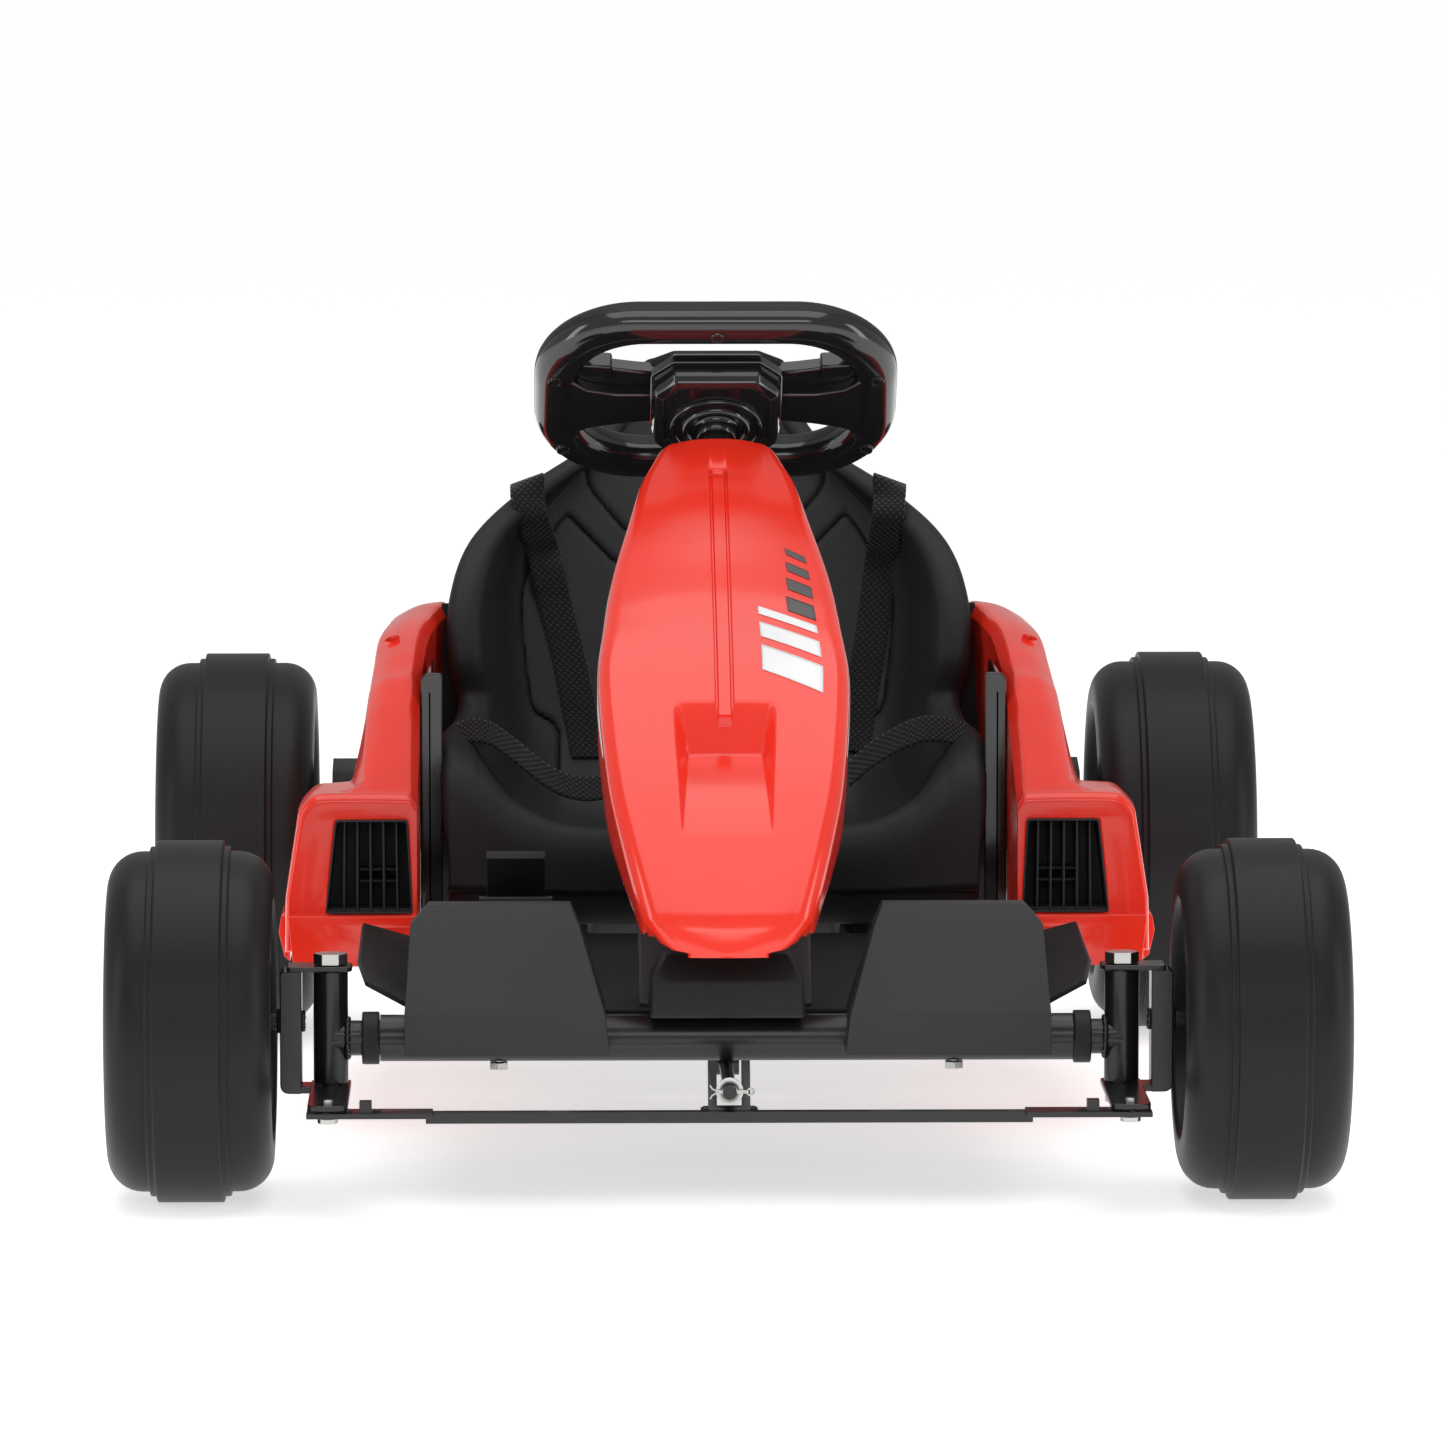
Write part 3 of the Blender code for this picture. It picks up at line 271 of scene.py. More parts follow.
def add_grid(work, rows, round_trip=False, skip=None):
    """Quads through rows of points, closed across each row with round_trip."""
    grid = [[work.verts.new(point) for point in row] for row in rows]
    for r, (row, following) in enumerate(zip(grid, grid[1:])):
        count = len(row)
        for i in range(count if round_trip else count - 1):
            if skip and skip(r, i):
                continue
            j = (i + 1) % count
            work.faces.new((row[i], row[j], following[j], following[i]))
    return grid


def add_wall(obj, thickness, offset=-1.0, even=False):
    """Thickens a sheet into a wall."""
    wall = obj.modifiers.new("wall", "SOLIDIFY")
    wall.thickness = thickness
    wall.offset = offset
    wall.use_even_offset = even
    return obj


def surface(name, rows, thickness, offset=-1.0, even=False):
    """A curved wall through rows of points."""
    return add_wall(new_object(name, lambda work: add_grid(work, rows)), thickness, offset, even)


def lathe(work, profile, centre, axis="X", steps=96):
    """Turns a closed profile of (radius, axial place) round an axis through the centre."""
    rings = []
    for radius, along in profile:
        ring = []
        for i in range(steps):
            angle = 2 * math.pi * i / steps
            one, two = radius * math.cos(angle), radius * math.sin(angle)
            ring.append(centre + (Vector((along, one, two)) if axis == "X" else Vector((one, two, along))))
        rings.append([work.verts.new(point) for point in ring])
    for ring, following in zip(rings, rings[1:] + rings[:1]):
        for i in range(steps):
            j = (i + 1) % steps
            work.faces.new((ring[i], ring[j], following[j], following[i]))


def add_loft(work, rings):
    """A closed body through rings of equally many points, capped at both ends."""
    grid = add_grid(work, rings, round_trip=True)
    work.faces.new(grid[0])
    work.faces.new(grid[-1])


def turned(name, profile, turn, steps=32):
    """A lathe piece about a matrix's Z axis."""
    def fill(work):
        lathe(work, profile, Vector(), "Z", steps)
        bmesh.ops.transform(work, matrix=turn, verts=work.verts)
    return new_object(name, fill)


def add_box(work, low, high):
    """A block between two corners."""
    low, high = Vector(low), Vector(high)
    for vert in bmesh.ops.create_cube(work, size=1)["verts"]:
        vert.co = [m + v * s for m, v, s in zip((low + high) / 2, vert.co, high - low)]


def along_axis(spot, direction):
    """A frame at a place, with its Z axis along a direction."""
    return Matrix.Translation(spot) @ Vector(direction).to_track_quat("Z", "Y").to_matrix().to_4x4()


def add_rod(work, start, end, radius, sides=24):
    """A round bar from one point to another."""
    start, end = Vector(start), Vector(end)
    bmesh.ops.create_cone(work, cap_ends=True, segments=sides, radius1=radius, radius2=radius,
                          depth=(end - start).length, matrix=along_axis((start + end) / 2, end - start))


def add_prism(work, outline, thickness, turn):
    """A flat outline in a matrix's XY plane, extruded to both sides of it."""
    half = thickness / 2
    add_loft(work, [[turn @ Vector((x, y, z)) for x, y in outline] for z in (-half, half)])


def upright(y):
    """Places an outline's x and height in the plane across the kart at world y."""
    return Matrix(((1, 0, 0, 0), (0, 0, -1, y), (0, 1, 0, 0), (0, 0, 0, 1)))


def soften(obj, width, segments=3, angle=35):
    """Rounds an object's edges that are sharper than an angle in degrees."""
    edge = obj.modifiers.new("soft_edges", "BEVEL")
    edge.width = width
    edge.segments = segments
    edge.limit_method = "ANGLE"
    edge.angle_limit = math.radians(angle)
    edge.harden_normals = False
    return obj


def settle(obj):
    """Applies the modifiers, so that the mesh is what shows."""
    graph = bpy.context.evaluated_depsgraph_get()
    mesh = bpy.data.meshes.new_from_object(obj.evaluated_get(graph))
    obj.modifiers.clear()
    obj.data = mesh
    return obj


def refined(node, look, width, segments, angle):
    """A copy of a CAD node with eased edges, which then stands for it."""
    work = bmesh.new()
    work.from_mesh(NODES[node].data)
    bmesh.ops.remove_doubles(work, verts=work.verts, dist=0.00002)
    flat = [edge for edge in work.edges if len(edge.link_faces) == 2 and edge.calc_face_angle(0) < 0.01]
    bmesh.ops.dissolve_edges(work, edges=flat, use_verts=False)
    finish_piece(soften(object_of(node + "_shown", work), width, segments, angle), look, node)


def spline(table, t):
    """Catmull-Rom value of a table of tuples at a fractional index."""
    last = len(table) - 1
    low = max(0, min(int(t), last - 1))
    share = t - low
    four = [table[min(max(low + k, 0), last)] for k in (-1, 0, 1, 2)]
    out = []
    for a, b, c, d in zip(*four):
        out.append(b + 0.5 * share * (c - a + share * (2 * a - 5 * b + 4 * c - d + share * (3 * (b - c) + d - a))))
    return out


def blend_step(value, low, high):
    """0 below low, 1 above high, smooth between."""
    share = min(max((value - low) / (high - low), 0.0), 1.0)
    return share * share * (3 - 2 * share)


def wheel_frame():
    """The steering wheel's own plane, square to the column; its Y points up and forward."""
    return Matrix(((1, 0, 0, HUB.x), (0, COLUMN_FRONT.y, COLUMN_UP.y, HUB.y),
                   (0, COLUMN_FRONT.z, COLUMN_UP.z, HUB.z), (0, 0, 0, 1)))


def on_column(z):
    """The point of the column's axis at height z."""
    return HUB + COLUMN_UP * ((z - HUB.z) / COLUMN_UP.z)


def near_line(x, z, path):
    """Distance in the x-z plane from a point to a polyline."""
    spot = Vector((x, z))
    best = 1.0
    for start, end in zip(path, path[1:]):
        a, b = Vector(start), Vector(end)
        share = min(max((spot - a).dot(b - a) / (b - a).length_squared, 0), 1)
        best = min(best, (spot - a - (b - a) * share).length)
    return best


# ---------------------------------------------------------------- wheels
def arc(centre, radius, start, end, steps=6):
    """Points of an arc as (radius, axial place) pairs, angles in degrees from the outward radial direction."""
    out = []
    for i in range(steps + 1):
        angle = math.radians(start + (end - start) * i / steps)
        out.append((centre[0] + radius * math.cos(angle), centre[1] + radius * math.sin(angle)))
    return out


def tyre_half(radius, half, band, recess):
    """Half of the tread and side wall's section, from the tread's middle out to the web's face."""
    shoulder = radius - 0.0062
    curl = 0.020
    tread = [(radius, 0.0), (radius, band - 0.0006), (radius - 0.0006, band), (radius - 0.0030, band + 0.0004),
             (radius - 0.0034, band + 0.0009), (radius - 0.0035, band + 0.0034), (radius - 0.0039, band + 0.0039),
             (shoulder + 0.0004, band + 0.0041), (shoulder, band + 0.0046)]
    wall = arc((shoulder - curl, half - curl), curl, 0, 78, 8)
    side = [(radius - 0.0290, half - 0.0004), (recess + 0.0045, half)]
    lip = arc((recess + 0.0042, half - 0.0042), 0.0042, 90, 180, 4)
    return tread + wall + side + lip + [(recess - 0.0040, 0.0165), (recess - 0.0065, 0.0142)]


def build_wheel(node, bore, spokes):
    """One blow-moulded wheel: raised tread band, rounded shoulders, dished faces with spokes, and a hub."""
    low, high = corners_of(node)
    centre = (low + high) / 2
    radius, half = (high.z - low.z) / 2, (high.x - low.x) / 2
    band, recess = 0.199 * (high.x - low.x) + 0.0002, radius - 0.036
    outward = 1 if centre.x > 0 else -1

    def fill(work):
        outer = tyre_half(radius, half, band, recess)
        hub = [(0.036, 0.0142), (0.0345, 0.0150), (0.0335, 0.0240), (0.0315, 0.0262), (bore + 0.0022, 0.0262),
               (bore, 0.0240)]
        side = outer[1:] + hub
        lathe(work, side + [(r, -a) for r, a in reversed(side)] + [(radius, 0.0)], centre, steps=112)
        for face in (1, -1):
            for i in range(spokes):
                angle = 2 * math.pi * (i + 0.5) / spokes
                turn = Matrix.Translation(centre) @ Matrix.Rotation(angle, 4, "X")
                rings = []
                for r, wide, tall in ((0.0320, 0.0105, 0.0255), (0.0400, 0.0090, 0.0240),
                                      (recess - 0.0030, 0.0125, 0.0290)):
                    ring = []
                    for across, up in ((-1.35, 0.012), (-1, tall - 0.002), (-0.72, tall), (0.72, tall),
                                       (1, tall - 0.002), (1.35, 0.012)):
                        ring.append(turn @ Vector((face * up, across * wide, r)))
                    rings.append(ring)
                add_loft(work, rings)

    finish_piece(new_object(node + "_moulding", fill), TYRE, node, smooth=32)

    def cap(work):
        profile = [(0.0005, 0.0345), (0.0120, 0.0340), (0.0190, 0.0318), (0.0232, 0.0280), (0.0240, 0.0256),
                   (0.0005, 0.0256)]
        lathe(work, [(r, outward * a) for r, a in profile], centre, steps=48)

    finish_piece(new_object(node + "_cap", cap), GLOSS, body=BODY_OF[node])


def build_wheels():
    """Two front wheels of five spokes and two rear ones of six."""
    for side, _ in SIDES:
        build_wheel("wheel_front_" + side, 0.0056, 5)
        build_wheel("wheel_rear_" + side, 0.0081, 6)


# ---------------------------------------------------------------- nose fairing
FAIRING = [  # distance behind the front axle, height, half width, wall depth
    (-0.0662, 0.1503, 0.0230, 0.012), (-0.0660, 0.1530, 0.0320, 0.014), (-0.0650, 0.1590, 0.0390, 0.018),
    (-0.0625, 0.1675, 0.0450, 0.022), (-0.0560, 0.1785, 0.0505, 0.028), (-0.0300, 0.2130, 0.0600, 0.040),
    (0.0080, 0.2490, 0.0680, 0.048), (0.0780, 0.2997, 0.0731, 0.050), (0.1300, 0.3304, 0.0691, 0.050),
    (0.1720, 0.3528, 0.0643, 0.048), (0.2220, 0.3798, 0.0546, 0.044), (0.2620, 0.4003, 0.0466, 0.040),
    (0.2860, 0.4135, 0.0370, 0.037), (0.2920, 0.4170, 0.0320, 0.036)]
SCOOP_TOP, SCOOP_DEEP, SCOOP_FOOT, SCOOP_DEPTH = 0.0530, 0.0293, -0.0290, 0.0165
WALL_REACH = 0.04  # a side wall's drop past the rounded edge, before it's scaled to the wall's own depth


def fairing_frame(t):
    """Centre, outward direction, half width and wall depth at station t of the fairing."""
    d, z, half, depth = spline(FAIRING, t)
    before, after = spline(FAIRING, max(t - 0.02, 0)), spline(FAIRING, min(t + 0.02, len(FAIRING) - 1))
    run = Vector((0, after[0] - before[0], after[1] - before[1])).normalized()
    return Vector((0, at(d), z)), Vector((0, -run.z, run.y)), half, depth, d


def edge_radius(half):
    """How round the edge between the face and a side wall is, where the face is half metres to each side."""
    return 0.011 * min(half / 0.05, 1.0)


def fairing_sink(x, d):
    """How far the face lies below its crown line: the centre rib's two grooves and the scoop."""
    size = abs(x)
    sink = 0.0
    if 0.040 < d < 0.268:
        outer = blend_step(size, 0.0034, 0.0041) * (1 - blend_step(size, 0.0049, 0.0058))
        end = blend_step(d, 0.040, 0.042) * (1 - blend_step(d, 0.263, 0.265))
        sink = 0.0024 * outer * end + 0.0006 * (1 - blend_step(size, 0.0034, 0.0041)) * end
        sink += 0.0020 * (1 - blend_step(size, 0.0045, 0.0052)) * blend_step(d, 0.2585, 0.2595) * end
    if SCOOP_FOOT - 0.002 < d < SCOOP_TOP + 0.002:
        if d < SCOOP_DEEP:
            level = (d - SCOOP_FOOT) / (SCOOP_DEEP - SCOOP_FOOT)
        else:
            level = (SCOOP_TOP - d) / (SCOOP_TOP - SCOOP_DEEP)
        level = max(level, 0.0)
        share = (d - SCOOP_FOOT) / (SCOOP_TOP - SCOOP_FOOT)
        rim = 0.0262 + 0.0052 * share
        floor = 0.0252 - 0.0046 * min(share / 0.71, 1.0) + 0.004 * blend_step(share, 0.72, 1.0)
        wall = 1 - blend_step(size, floor, rim)
        rib = 1 - blend_step(size, 0.0034, 0.0046)
        scoop = SCOOP_DEPTH * level * wall
        if d > 0.043:
            scoop *= 1 - rib
        sink = max(sink if d > 0.043 else 0.0, scoop)
    return sink


def fairing_point(x_share, t, drop=0.0, lift=0.0):
    """A point of the face: x_share from -1 to 1 across it, drop metres down the side wall, lift off the skin."""
    centre, out, half, depth, d = fairing_frame(t)
    edge = edge_radius(half)
    x = x_share * (half - edge)
    crown = 0.001 - 0.0035 * abs(x_share) ** 2.5
    if not drop:
        return centre + Vector((x, 0, 0)) + out * (crown + lift - fairing_sink(x, d))
    side = 1 if x_share > 0 else -1
    turn = min(drop / edge, 1.0) * math.pi / 2
    spot = Vector((side * (half - edge + (edge + lift) * math.sin(turn)), 0, 0))
    level = crown - edge + (edge + lift) * math.cos(turn)
    return centre + spot + out * (level - max(drop - edge, 0.0) * (depth - edge) / WALL_REACH)


def fairing_row(t):
    """A row of points across the face and down both side walls, closer together at the centre rib."""
    across = [0.0, 0.0012, 0.0024, 0.0033, 0.0037, 0.0041, 0.0045, 0.0049, 0.0053, 0.0057, 0.0062]
    half = spline(FAIRING, t)[2]
    edge = edge_radius(half)
    flat = half - edge
    steps = 52
    shares = [a / flat for a in across] + [
        (across[-1] + (flat - across[-1]) * (i + 1) / steps) / flat for i in range(steps)]
    drops = [edge * i / 7 for i in range(1, 8)] + [edge + WALL_REACH * i / 5 for i in range(1, 6)]
    left, right = ([fairing_point(side * s, t) for s in shares[1:]] + [fairing_point(side, t, drop) for drop in drops]
                   for side in (-1, 1))
    return left[::-1] + [fairing_point(0, t)] + right


def fairing_t(d):
    """Station whose distance behind the front axle is d."""
    low, high = 0.0, float(len(FAIRING) - 1)
    for _ in range(30):
        mid = (low + high) / 2
        if spline(FAIRING, mid)[0] < d:
            low = mid
        else:
            high = mid
    return (low + high) / 2


def build_fairing():
    """The nose fairing's skin and the collar where the column comes through it."""
    last = len(FAIRING) - 1
    stations = [i * 0.2 for i in range(26)]
    d = SCOOP_FOOT
    while d < 0.0560:
        stations.append(fairing_t(d))
        d += 0.0011
    stations += [fairing_t(0.0575 + 0.0041 * i) for i in range(49)]
    stations += [fairing_t(v) for v in (0.2580, 0.2587, 0.2594, 0.2620, 0.2629, 0.2637, 0.2645, 0.2652)]
    stations += [last - 0.9, last - 0.7, last - 0.5, last - 0.3, last - 0.15, last]
    stations = sorted(set(round(t, 4) for t in stations))
    rows = [fairing_row(t) for t in stations]

    def closing(t, row, keep_out):
        """Rows that turn the skin back at an end, down to the wall's depth."""
        centre, out, _, depth, _ = fairing_frame(t)
        run = Vector((0, out.z, -out.y)) * (1 if t > 1 else -1)
        made = []
        for share, ahead in ((0.04, 0.0012), (0.12, 0.0020), (0.24, 0.0022)):
            made.append([point - out * ((point - centre).dot(out) + depth) * share * keep_out
                         + run * ahead for point in row])
        return made

    rows = closing(stations[0], rows[0], 0.9)[::-1] + rows
    rows += closing(stations[-1], rows[-1], 0.55)
    finish_piece(surface("nose_fairing_skin", rows, SHELL_WALL), RED, "nose_fairing", smooth=55)
    build_decals()
    collar = turned("fairing_collar", [(0.0092, -0.010), (0.0142, -0.010), (0.0142, 0.002), (0.0132, 0.0042),
                                       (0.0112, 0.005), (0.0092, 0.005)], along_axis(on_column(0.405), COLUMN_UP), 40)
    finish_piece(collar, RED, body=BODY_OF["nose_fairing"])


def patch(name, look, spot, across, along, lift=0.00035):
    """A thin printed patch on the fairing: spot(u, v) gives its place as (x share, drop, distance)."""
    rows = []
    for i in range(along + 1):
        row = []
        for j in range(across + 1):
            share, drop, d = spot(j / across, i / along)
            row.append(fairing_point(share, fairing_t(d), drop, lift))
        rows.append(row)
    finish_piece(surface(name, rows, 0.0002, 0.0, True), look, body=BODY_OF["nose_fairing"], smooth=80)


def build_decals():
    """Generic slanted bars on the face's left half, and a long stripe down each side wall."""
    bars = (  # name, material, inner and outer x share, lower edge and length, slant from inner to outer
        ("fairing_bar_a", WHITE, 0.36, 0.93, 0.0760, 0.0200, -0.0150),
        ("fairing_bar_b", WHITE, 0.36, 0.92, 0.1030, 0.0130, -0.0150),
        ("fairing_bar_c", WHITE, 0.36, 0.92, 0.1230, 0.0070, -0.0150),
        ("fairing_bar_d", DARK, 0.66, 0.93, 0.1270, 0.0130, -0.0070),
        ("fairing_bar_e", DARK, 0.69, 0.94, 0.1470, 0.0110, -0.0070),
        ("fairing_bar_f", DARK, 0.72, 0.95, 0.1650, 0.0085, -0.0070),
        ("fairing_bar_g", DARK, 0.75, 0.96, 0.1810, 0.0060, -0.0070))
    for name, look, inner, outer, foot, length, slant in bars:
        patch(name, look, lambda u, v: (inner + (outer - inner) * u, 0.0, foot + length * v + slant * u), 14, 8)
    for side, sign in SIDES:
        patch("fairing_stripe_" + side, WHITE,
              lambda u, v: (sign, 0.0125 + (0.016 * math.sin(math.pi * min(v * 1.15, 1)) + 0.004) * u,
                            0.030 + 0.205 * v), 6, 60)


# ---------------------------------------------------------------- seat
SEAT_ROWS = [  # centre distance and height, then the edge's half width, distance and height
    (0.374, 0.133, 0.1600, 0.377, 0.133), (0.375, 0.158, 0.1620, 0.392, 0.196),
    (0.392, 0.166, 0.1630, 0.420, 0.212), (0.450, 0.151, 0.1640, 0.455, 0.214),
    (0.520, 0.146, 0.1640, 0.500, 0.216), (0.575, 0.158, 0.1560, 0.535, 0.222),
    (0.610, 0.200, 0.1530, 0.555, 0.236), (0.632, 0.250, 0.1585, 0.550, 0.262),
    (0.655, 0.300, 0.1585, 0.565, 0.298), (0.675, 0.340, 0.1450, 0.600, 0.332),
    (0.690, 0.368, 0.1110, 0.650, 0.360), (0.703, 0.393, 0.0720, 0.685, 0.384),
    (0.716, 0.420, 0.0520, 0.708, 0.412), (0.726, 0.438, 0.0460, 0.722, 0.432)]
PAN_SPREAD = [(0.0, 0.0), (0.4, 0.02), (0.61, 0.11), (0.77, 0.38), (0.90, 0.82), (0.96, 0.97), (1.0, 1.0)]
BACK_SPREAD = [(0.0, 0.0), (0.4, 0.015), (0.64, 0.06), (0.75, 0.14), (0.82, 0.34), (0.88, 0.72), (0.925, 0.95),
               (1.0, 1.0)]
SEAT_GROOVES = (  # x and height along each sunk line, for one half of the back
    ((0.0000, 0.2850), (0.0608, 0.3127), (0.0880, 0.3395), (0.0915, 0.3405), (0.0968, 0.3345),
     (0.1152, 0.3060), (0.1193, 0.2945), (0.1200, 0.2860), (0.1174, 0.2531), (0.1136, 0.2256),
     (0.1104, 0.2190), (0.0989, 0.2121), (0.0952, 0.2057), (0.0956, 0.1780)),
    ((0.0780, 0.3693), (0.0764, 0.3602), (0.0722, 0.3533), (0.0540, 0.3326), (0.0000, 0.2980)))


def spread_at(table, size):
    """How far from the centre line to the edge the surface has come, at a share of the half width."""
    for k, ((f0, _), (f1, _)) in enumerate(zip(table, table[1:])):
        if size <= f1 or k == len(table) - 2:
            return min(spline(table, k + (size - f0) / (f1 - f0))[1], 1.0)


def seat_point(row, across):
    """The seat's inner surface, row along it from the front lip and across from -1 to 1."""
    cd, cz, w, ed, ez = spline(SEAT_ROWS, row)
    size = min(abs(across), 1.0)
    back = blend_step(row, 5.0, 7.0)
    lean = spread_at(PAN_SPREAD, size) * (1 - back) + spread_at(BACK_SPREAD, size) * back
    return Vector((across * w, at(cd + (ed - cd) * lean), cz + (ez - cz) * lean))


def seat_facing(row, across):
    """Direction square to the seat's surface, towards the driver."""
    step = 0.02
    up = seat_point(min(row + step, 13), across) - seat_point(max(row - step, 0), across)
    side = seat_point(row, min(across + step, 1)) - seat_point(row, max(across - step, -1))
    return side.cross(up).normalized()


def build_seat():
    """The moulded bucket, with its sunk lines and rolled rim."""
    columns = [math.sin(math.pi / 2 * i / 116) * 0.18 + (i / 116) * 0.82 for i in range(-116, 117)]
    stations = [0.12 * i for i in range(42)] + [5.0 + 0.042 * i for i in range(191)]
    stations = [s for s in stations if s <= 13.0] + [13.0]
    paths = [[Vector(p) for p in path] for path in SEAT_GROOVES]
    rows = []
    for row in stations:
        made = []
        for across in columns:
            spot = seat_point(row, across)
            if row > 4.9:
                gap = min(near_line(abs(spot.x), spot.z, path) for path in paths)
                if gap < 0.0035:
                    spot = spot - seat_facing(row, across) * 0.0030 * (1 - blend_step(gap, 0.0008, 0.0028))
            made.append(spot)
        rows.append(rolled(made, row))
    finish_piece(surface("seat_bucket", rows, SEAT_WALL), SEAT, "seat_shell", smooth=60)


def rolled(points, row):
    """Adds a rim at both ends of a row that turns back and outward, as a moulded edge does."""
    depth = 0.010 * blend_step(row, 0.6, 2.0) * (1 - 0.55 * blend_step(row, 9.5, 12.0))
    out = points
    for end, sign in ((0, -1), (-1, 1)):
        edge = points[end]
        lip = []
        for turn in (0.35, 0.7, 1.0, 1.25, 1.6):
            angle = min(turn, 1.0) * math.pi / 2
            lip.append(edge + Vector((sign * 0.0028 * math.sin(angle), depth * (1 - math.cos(angle)) * 0.45
                                      + depth * max(turn - 1, 0) * 1.1,
                                      -depth * (1 - math.cos(angle)) * 0.35 - depth * max(turn - 1, 0))))
        out = lip[::-1] + out if sign < 0 else out + lip
    return out


def build_seat_base():
    """The rounded tray under the seat."""
    low, high = corners_of("seat_base")
    corner = 0.012

    def fill(work):
        rings = []
        for z, grow in ((low.z, -0.004), (low.z + 0.006, -0.0015), (high.z - 0.005, 0.0), (high.z, -0.0012)):
            ring = []
            for sx, sy, start in ((1, 1, 0), (-1, 1, 90), (-1, -1, 180), (1, -1, 270)):
                for k in range(6):
                    angle = math.radians(start + 18 * k)
                    ring.append(Vector((sx * (high.x - corner) + (corner + grow) * math.cos(angle),
                                        (high.y - corner if sy > 0 else low.y + corner)
                                        + (corner + grow) * math.sin(angle), z)))
            rings.append(ring)
        add_loft(work, rings)

    base = soften(new_object("seat_base_tray", fill), 0.0012, 2)
    finish_piece(base, BLACK, "seat_base")


# ---------------------------------------------------------------- harness
STRAP_WIDTH = 0.022
STRAP_WALL = 0.0015
MOST_TILT = 0.45  # how far a shoulder strap leans across its width, as a slope
STEPS = 16  # rows of a strap's mesh between two points of its path


def strap(name, node, path, widths):
    """A flat strap through points, each with its width's direction, and a UV in metres for the weave."""
    count = STEPS * (len(path) - 1)
    line, sides = [], []
    for i in range(count + 1):
        t = i / STEPS
        line.append(Vector(spline([tuple(Vector(p)) for p in path], t)))
        sides.append(Vector(spline([tuple(w) for w in widths], t)).normalized())
    length, runs = 0.0, [0.0]
    for one, two in zip(line, line[1:]):
        length += (two - one).length
        runs.append(length)
    across = 8
    work = bmesh.new()
    layer = work.loops.layers.uv.new("strap")
    grid = [[work.verts.new(spot + side * STRAP_WIDTH * (j / across - 0.5)) for j in range(across + 1)]
            for spot, side in zip(line, sides)]
    for i in range(count):
        for j in range(across):
            face = work.faces.new((grid[i][j], grid[i][j + 1], grid[i + 1][j + 1], grid[i + 1][j]))
            for loop, (row, column) in zip(face.loops, ((i, j), (i, j + 1), (i + 1, j + 1), (i + 1, j))):
                loop[layer].uv = (STRAP_WIDTH * column / across, runs[row])
    obj = soften(add_wall(object_of(name, work), STRAP_WALL, 0.0), 0.0004, 1, 60)
    finish_piece(obj, WEB, node, smooth=50)


def back_y(x, z):
    """World y of the seat's back at x and height z."""
    best, found = 1.0, (7.0, 0.0)
    row = 5.0
    while row < 11.5:
        across = x / spline(SEAT_ROWS, row)[2]
        if abs(across) <= 1:
            gap = abs(seat_point(row, across).z - z)
            if gap < best:
                best, found = gap, (row, across)
        row += 0.02
    return seat_point(*found).y


def across_seat(x, z, lift):
    """Where a flat strap rests at x and height z, bridging what curves behind it, and its width's direction."""
    half = STRAP_WIDTH / 2
    near, under, far = (back_y(x + step, z) for step in (-half, 0.0, half))
    slope = max(-MOST_TILT, min(MOST_TILT, (far - near) / STRAP_WIDTH))
    front = min(near + slope * half, under, far - slope * half)
    return Vector((x, front - lift, z)), Vector((1, slope, 0))


def build_harness():
    """Two shoulder straps folded over the seat's top, and two lap belts that arc in from its sides."""
    shoulder = {  # x and height down each shoulder strap, and the gap to the seat
        "left": ((0.1165, 0.3570, 0.0060), (0.1150, 0.3420, 0.0050), (0.1118, 0.3150, 0.0040),
                 (0.1085, 0.2900, 0.0040), (0.1040, 0.2600, 0.0040), (0.0990, 0.2350, 0.0040),
                 (0.0955, 0.2120, 0.0045), (0.0930, 0.1960, 0.0050)),
        "right": ((-0.1145, 0.3570, 0.0060), (-0.1110, 0.3420, 0.0050), (-0.1055, 0.3230, 0.0090),
                  (-0.1025, 0.3100, 0.0110), (-0.1000, 0.2990, 0.0090), (-0.0975, 0.2880, 0.0060),
                  (-0.0905, 0.2600, 0.0040), (-0.0850, 0.2350, 0.0040),
                  (-0.0805, 0.2120, 0.0045), (-0.0760, 0.1920, 0.0050))}
    for side, sign in SIDES:
        path, widths = [], []
        for x, z, lift in shoulder[side]:
            spot, width = across_seat(x, z, lift)
            path.append(spot)
            widths.append(width)
        top = path[0]
        path = [top + Vector((sign * 0.001, 0.026, 0.000)), top + Vector((sign * 0.001, 0.016, 0.0085)),
                top + Vector((0, 0.006, 0.0085))] + path
        tilt = Vector((1, 0.0, -0.35 * sign))
        widths = [tilt] * 3 + widths
        strap("shoulder_webbing_" + side, "shoulder_strap_" + side, path, widths)

    laps = (  # side, direction of the belt's width, then x, distance behind the front axle and height along it
        ("right", (0, 0.80, 0.60), ((-0.1640, 0.512, 0.2130), (-0.1530, 0.503, 0.2190), (-0.1390, 0.492, 0.2190),
                                    (-0.1240, 0.482, 0.2100), (-0.1100, 0.476, 0.1990), (-0.0950, 0.470, 0.1900),
                                    (-0.0800, 0.466, 0.1865), (-0.0660, 0.464, 0.1880))),
        ("left", (0, 0.75, 0.66), ((0.1620, 0.500, 0.2150), (0.1480, 0.488, 0.2205), (0.1320, 0.480, 0.2220),
                                   (0.1150, 0.474, 0.2160), (0.0980, 0.468, 0.2060), (0.0850, 0.464, 0.1950))))
    for side, width, places in laps:
        strap("lap_webbing_" + side, "lap_belt_" + side, [(x, at(d), z) for x, d, z in places],
              [Vector(width)] * len(places))


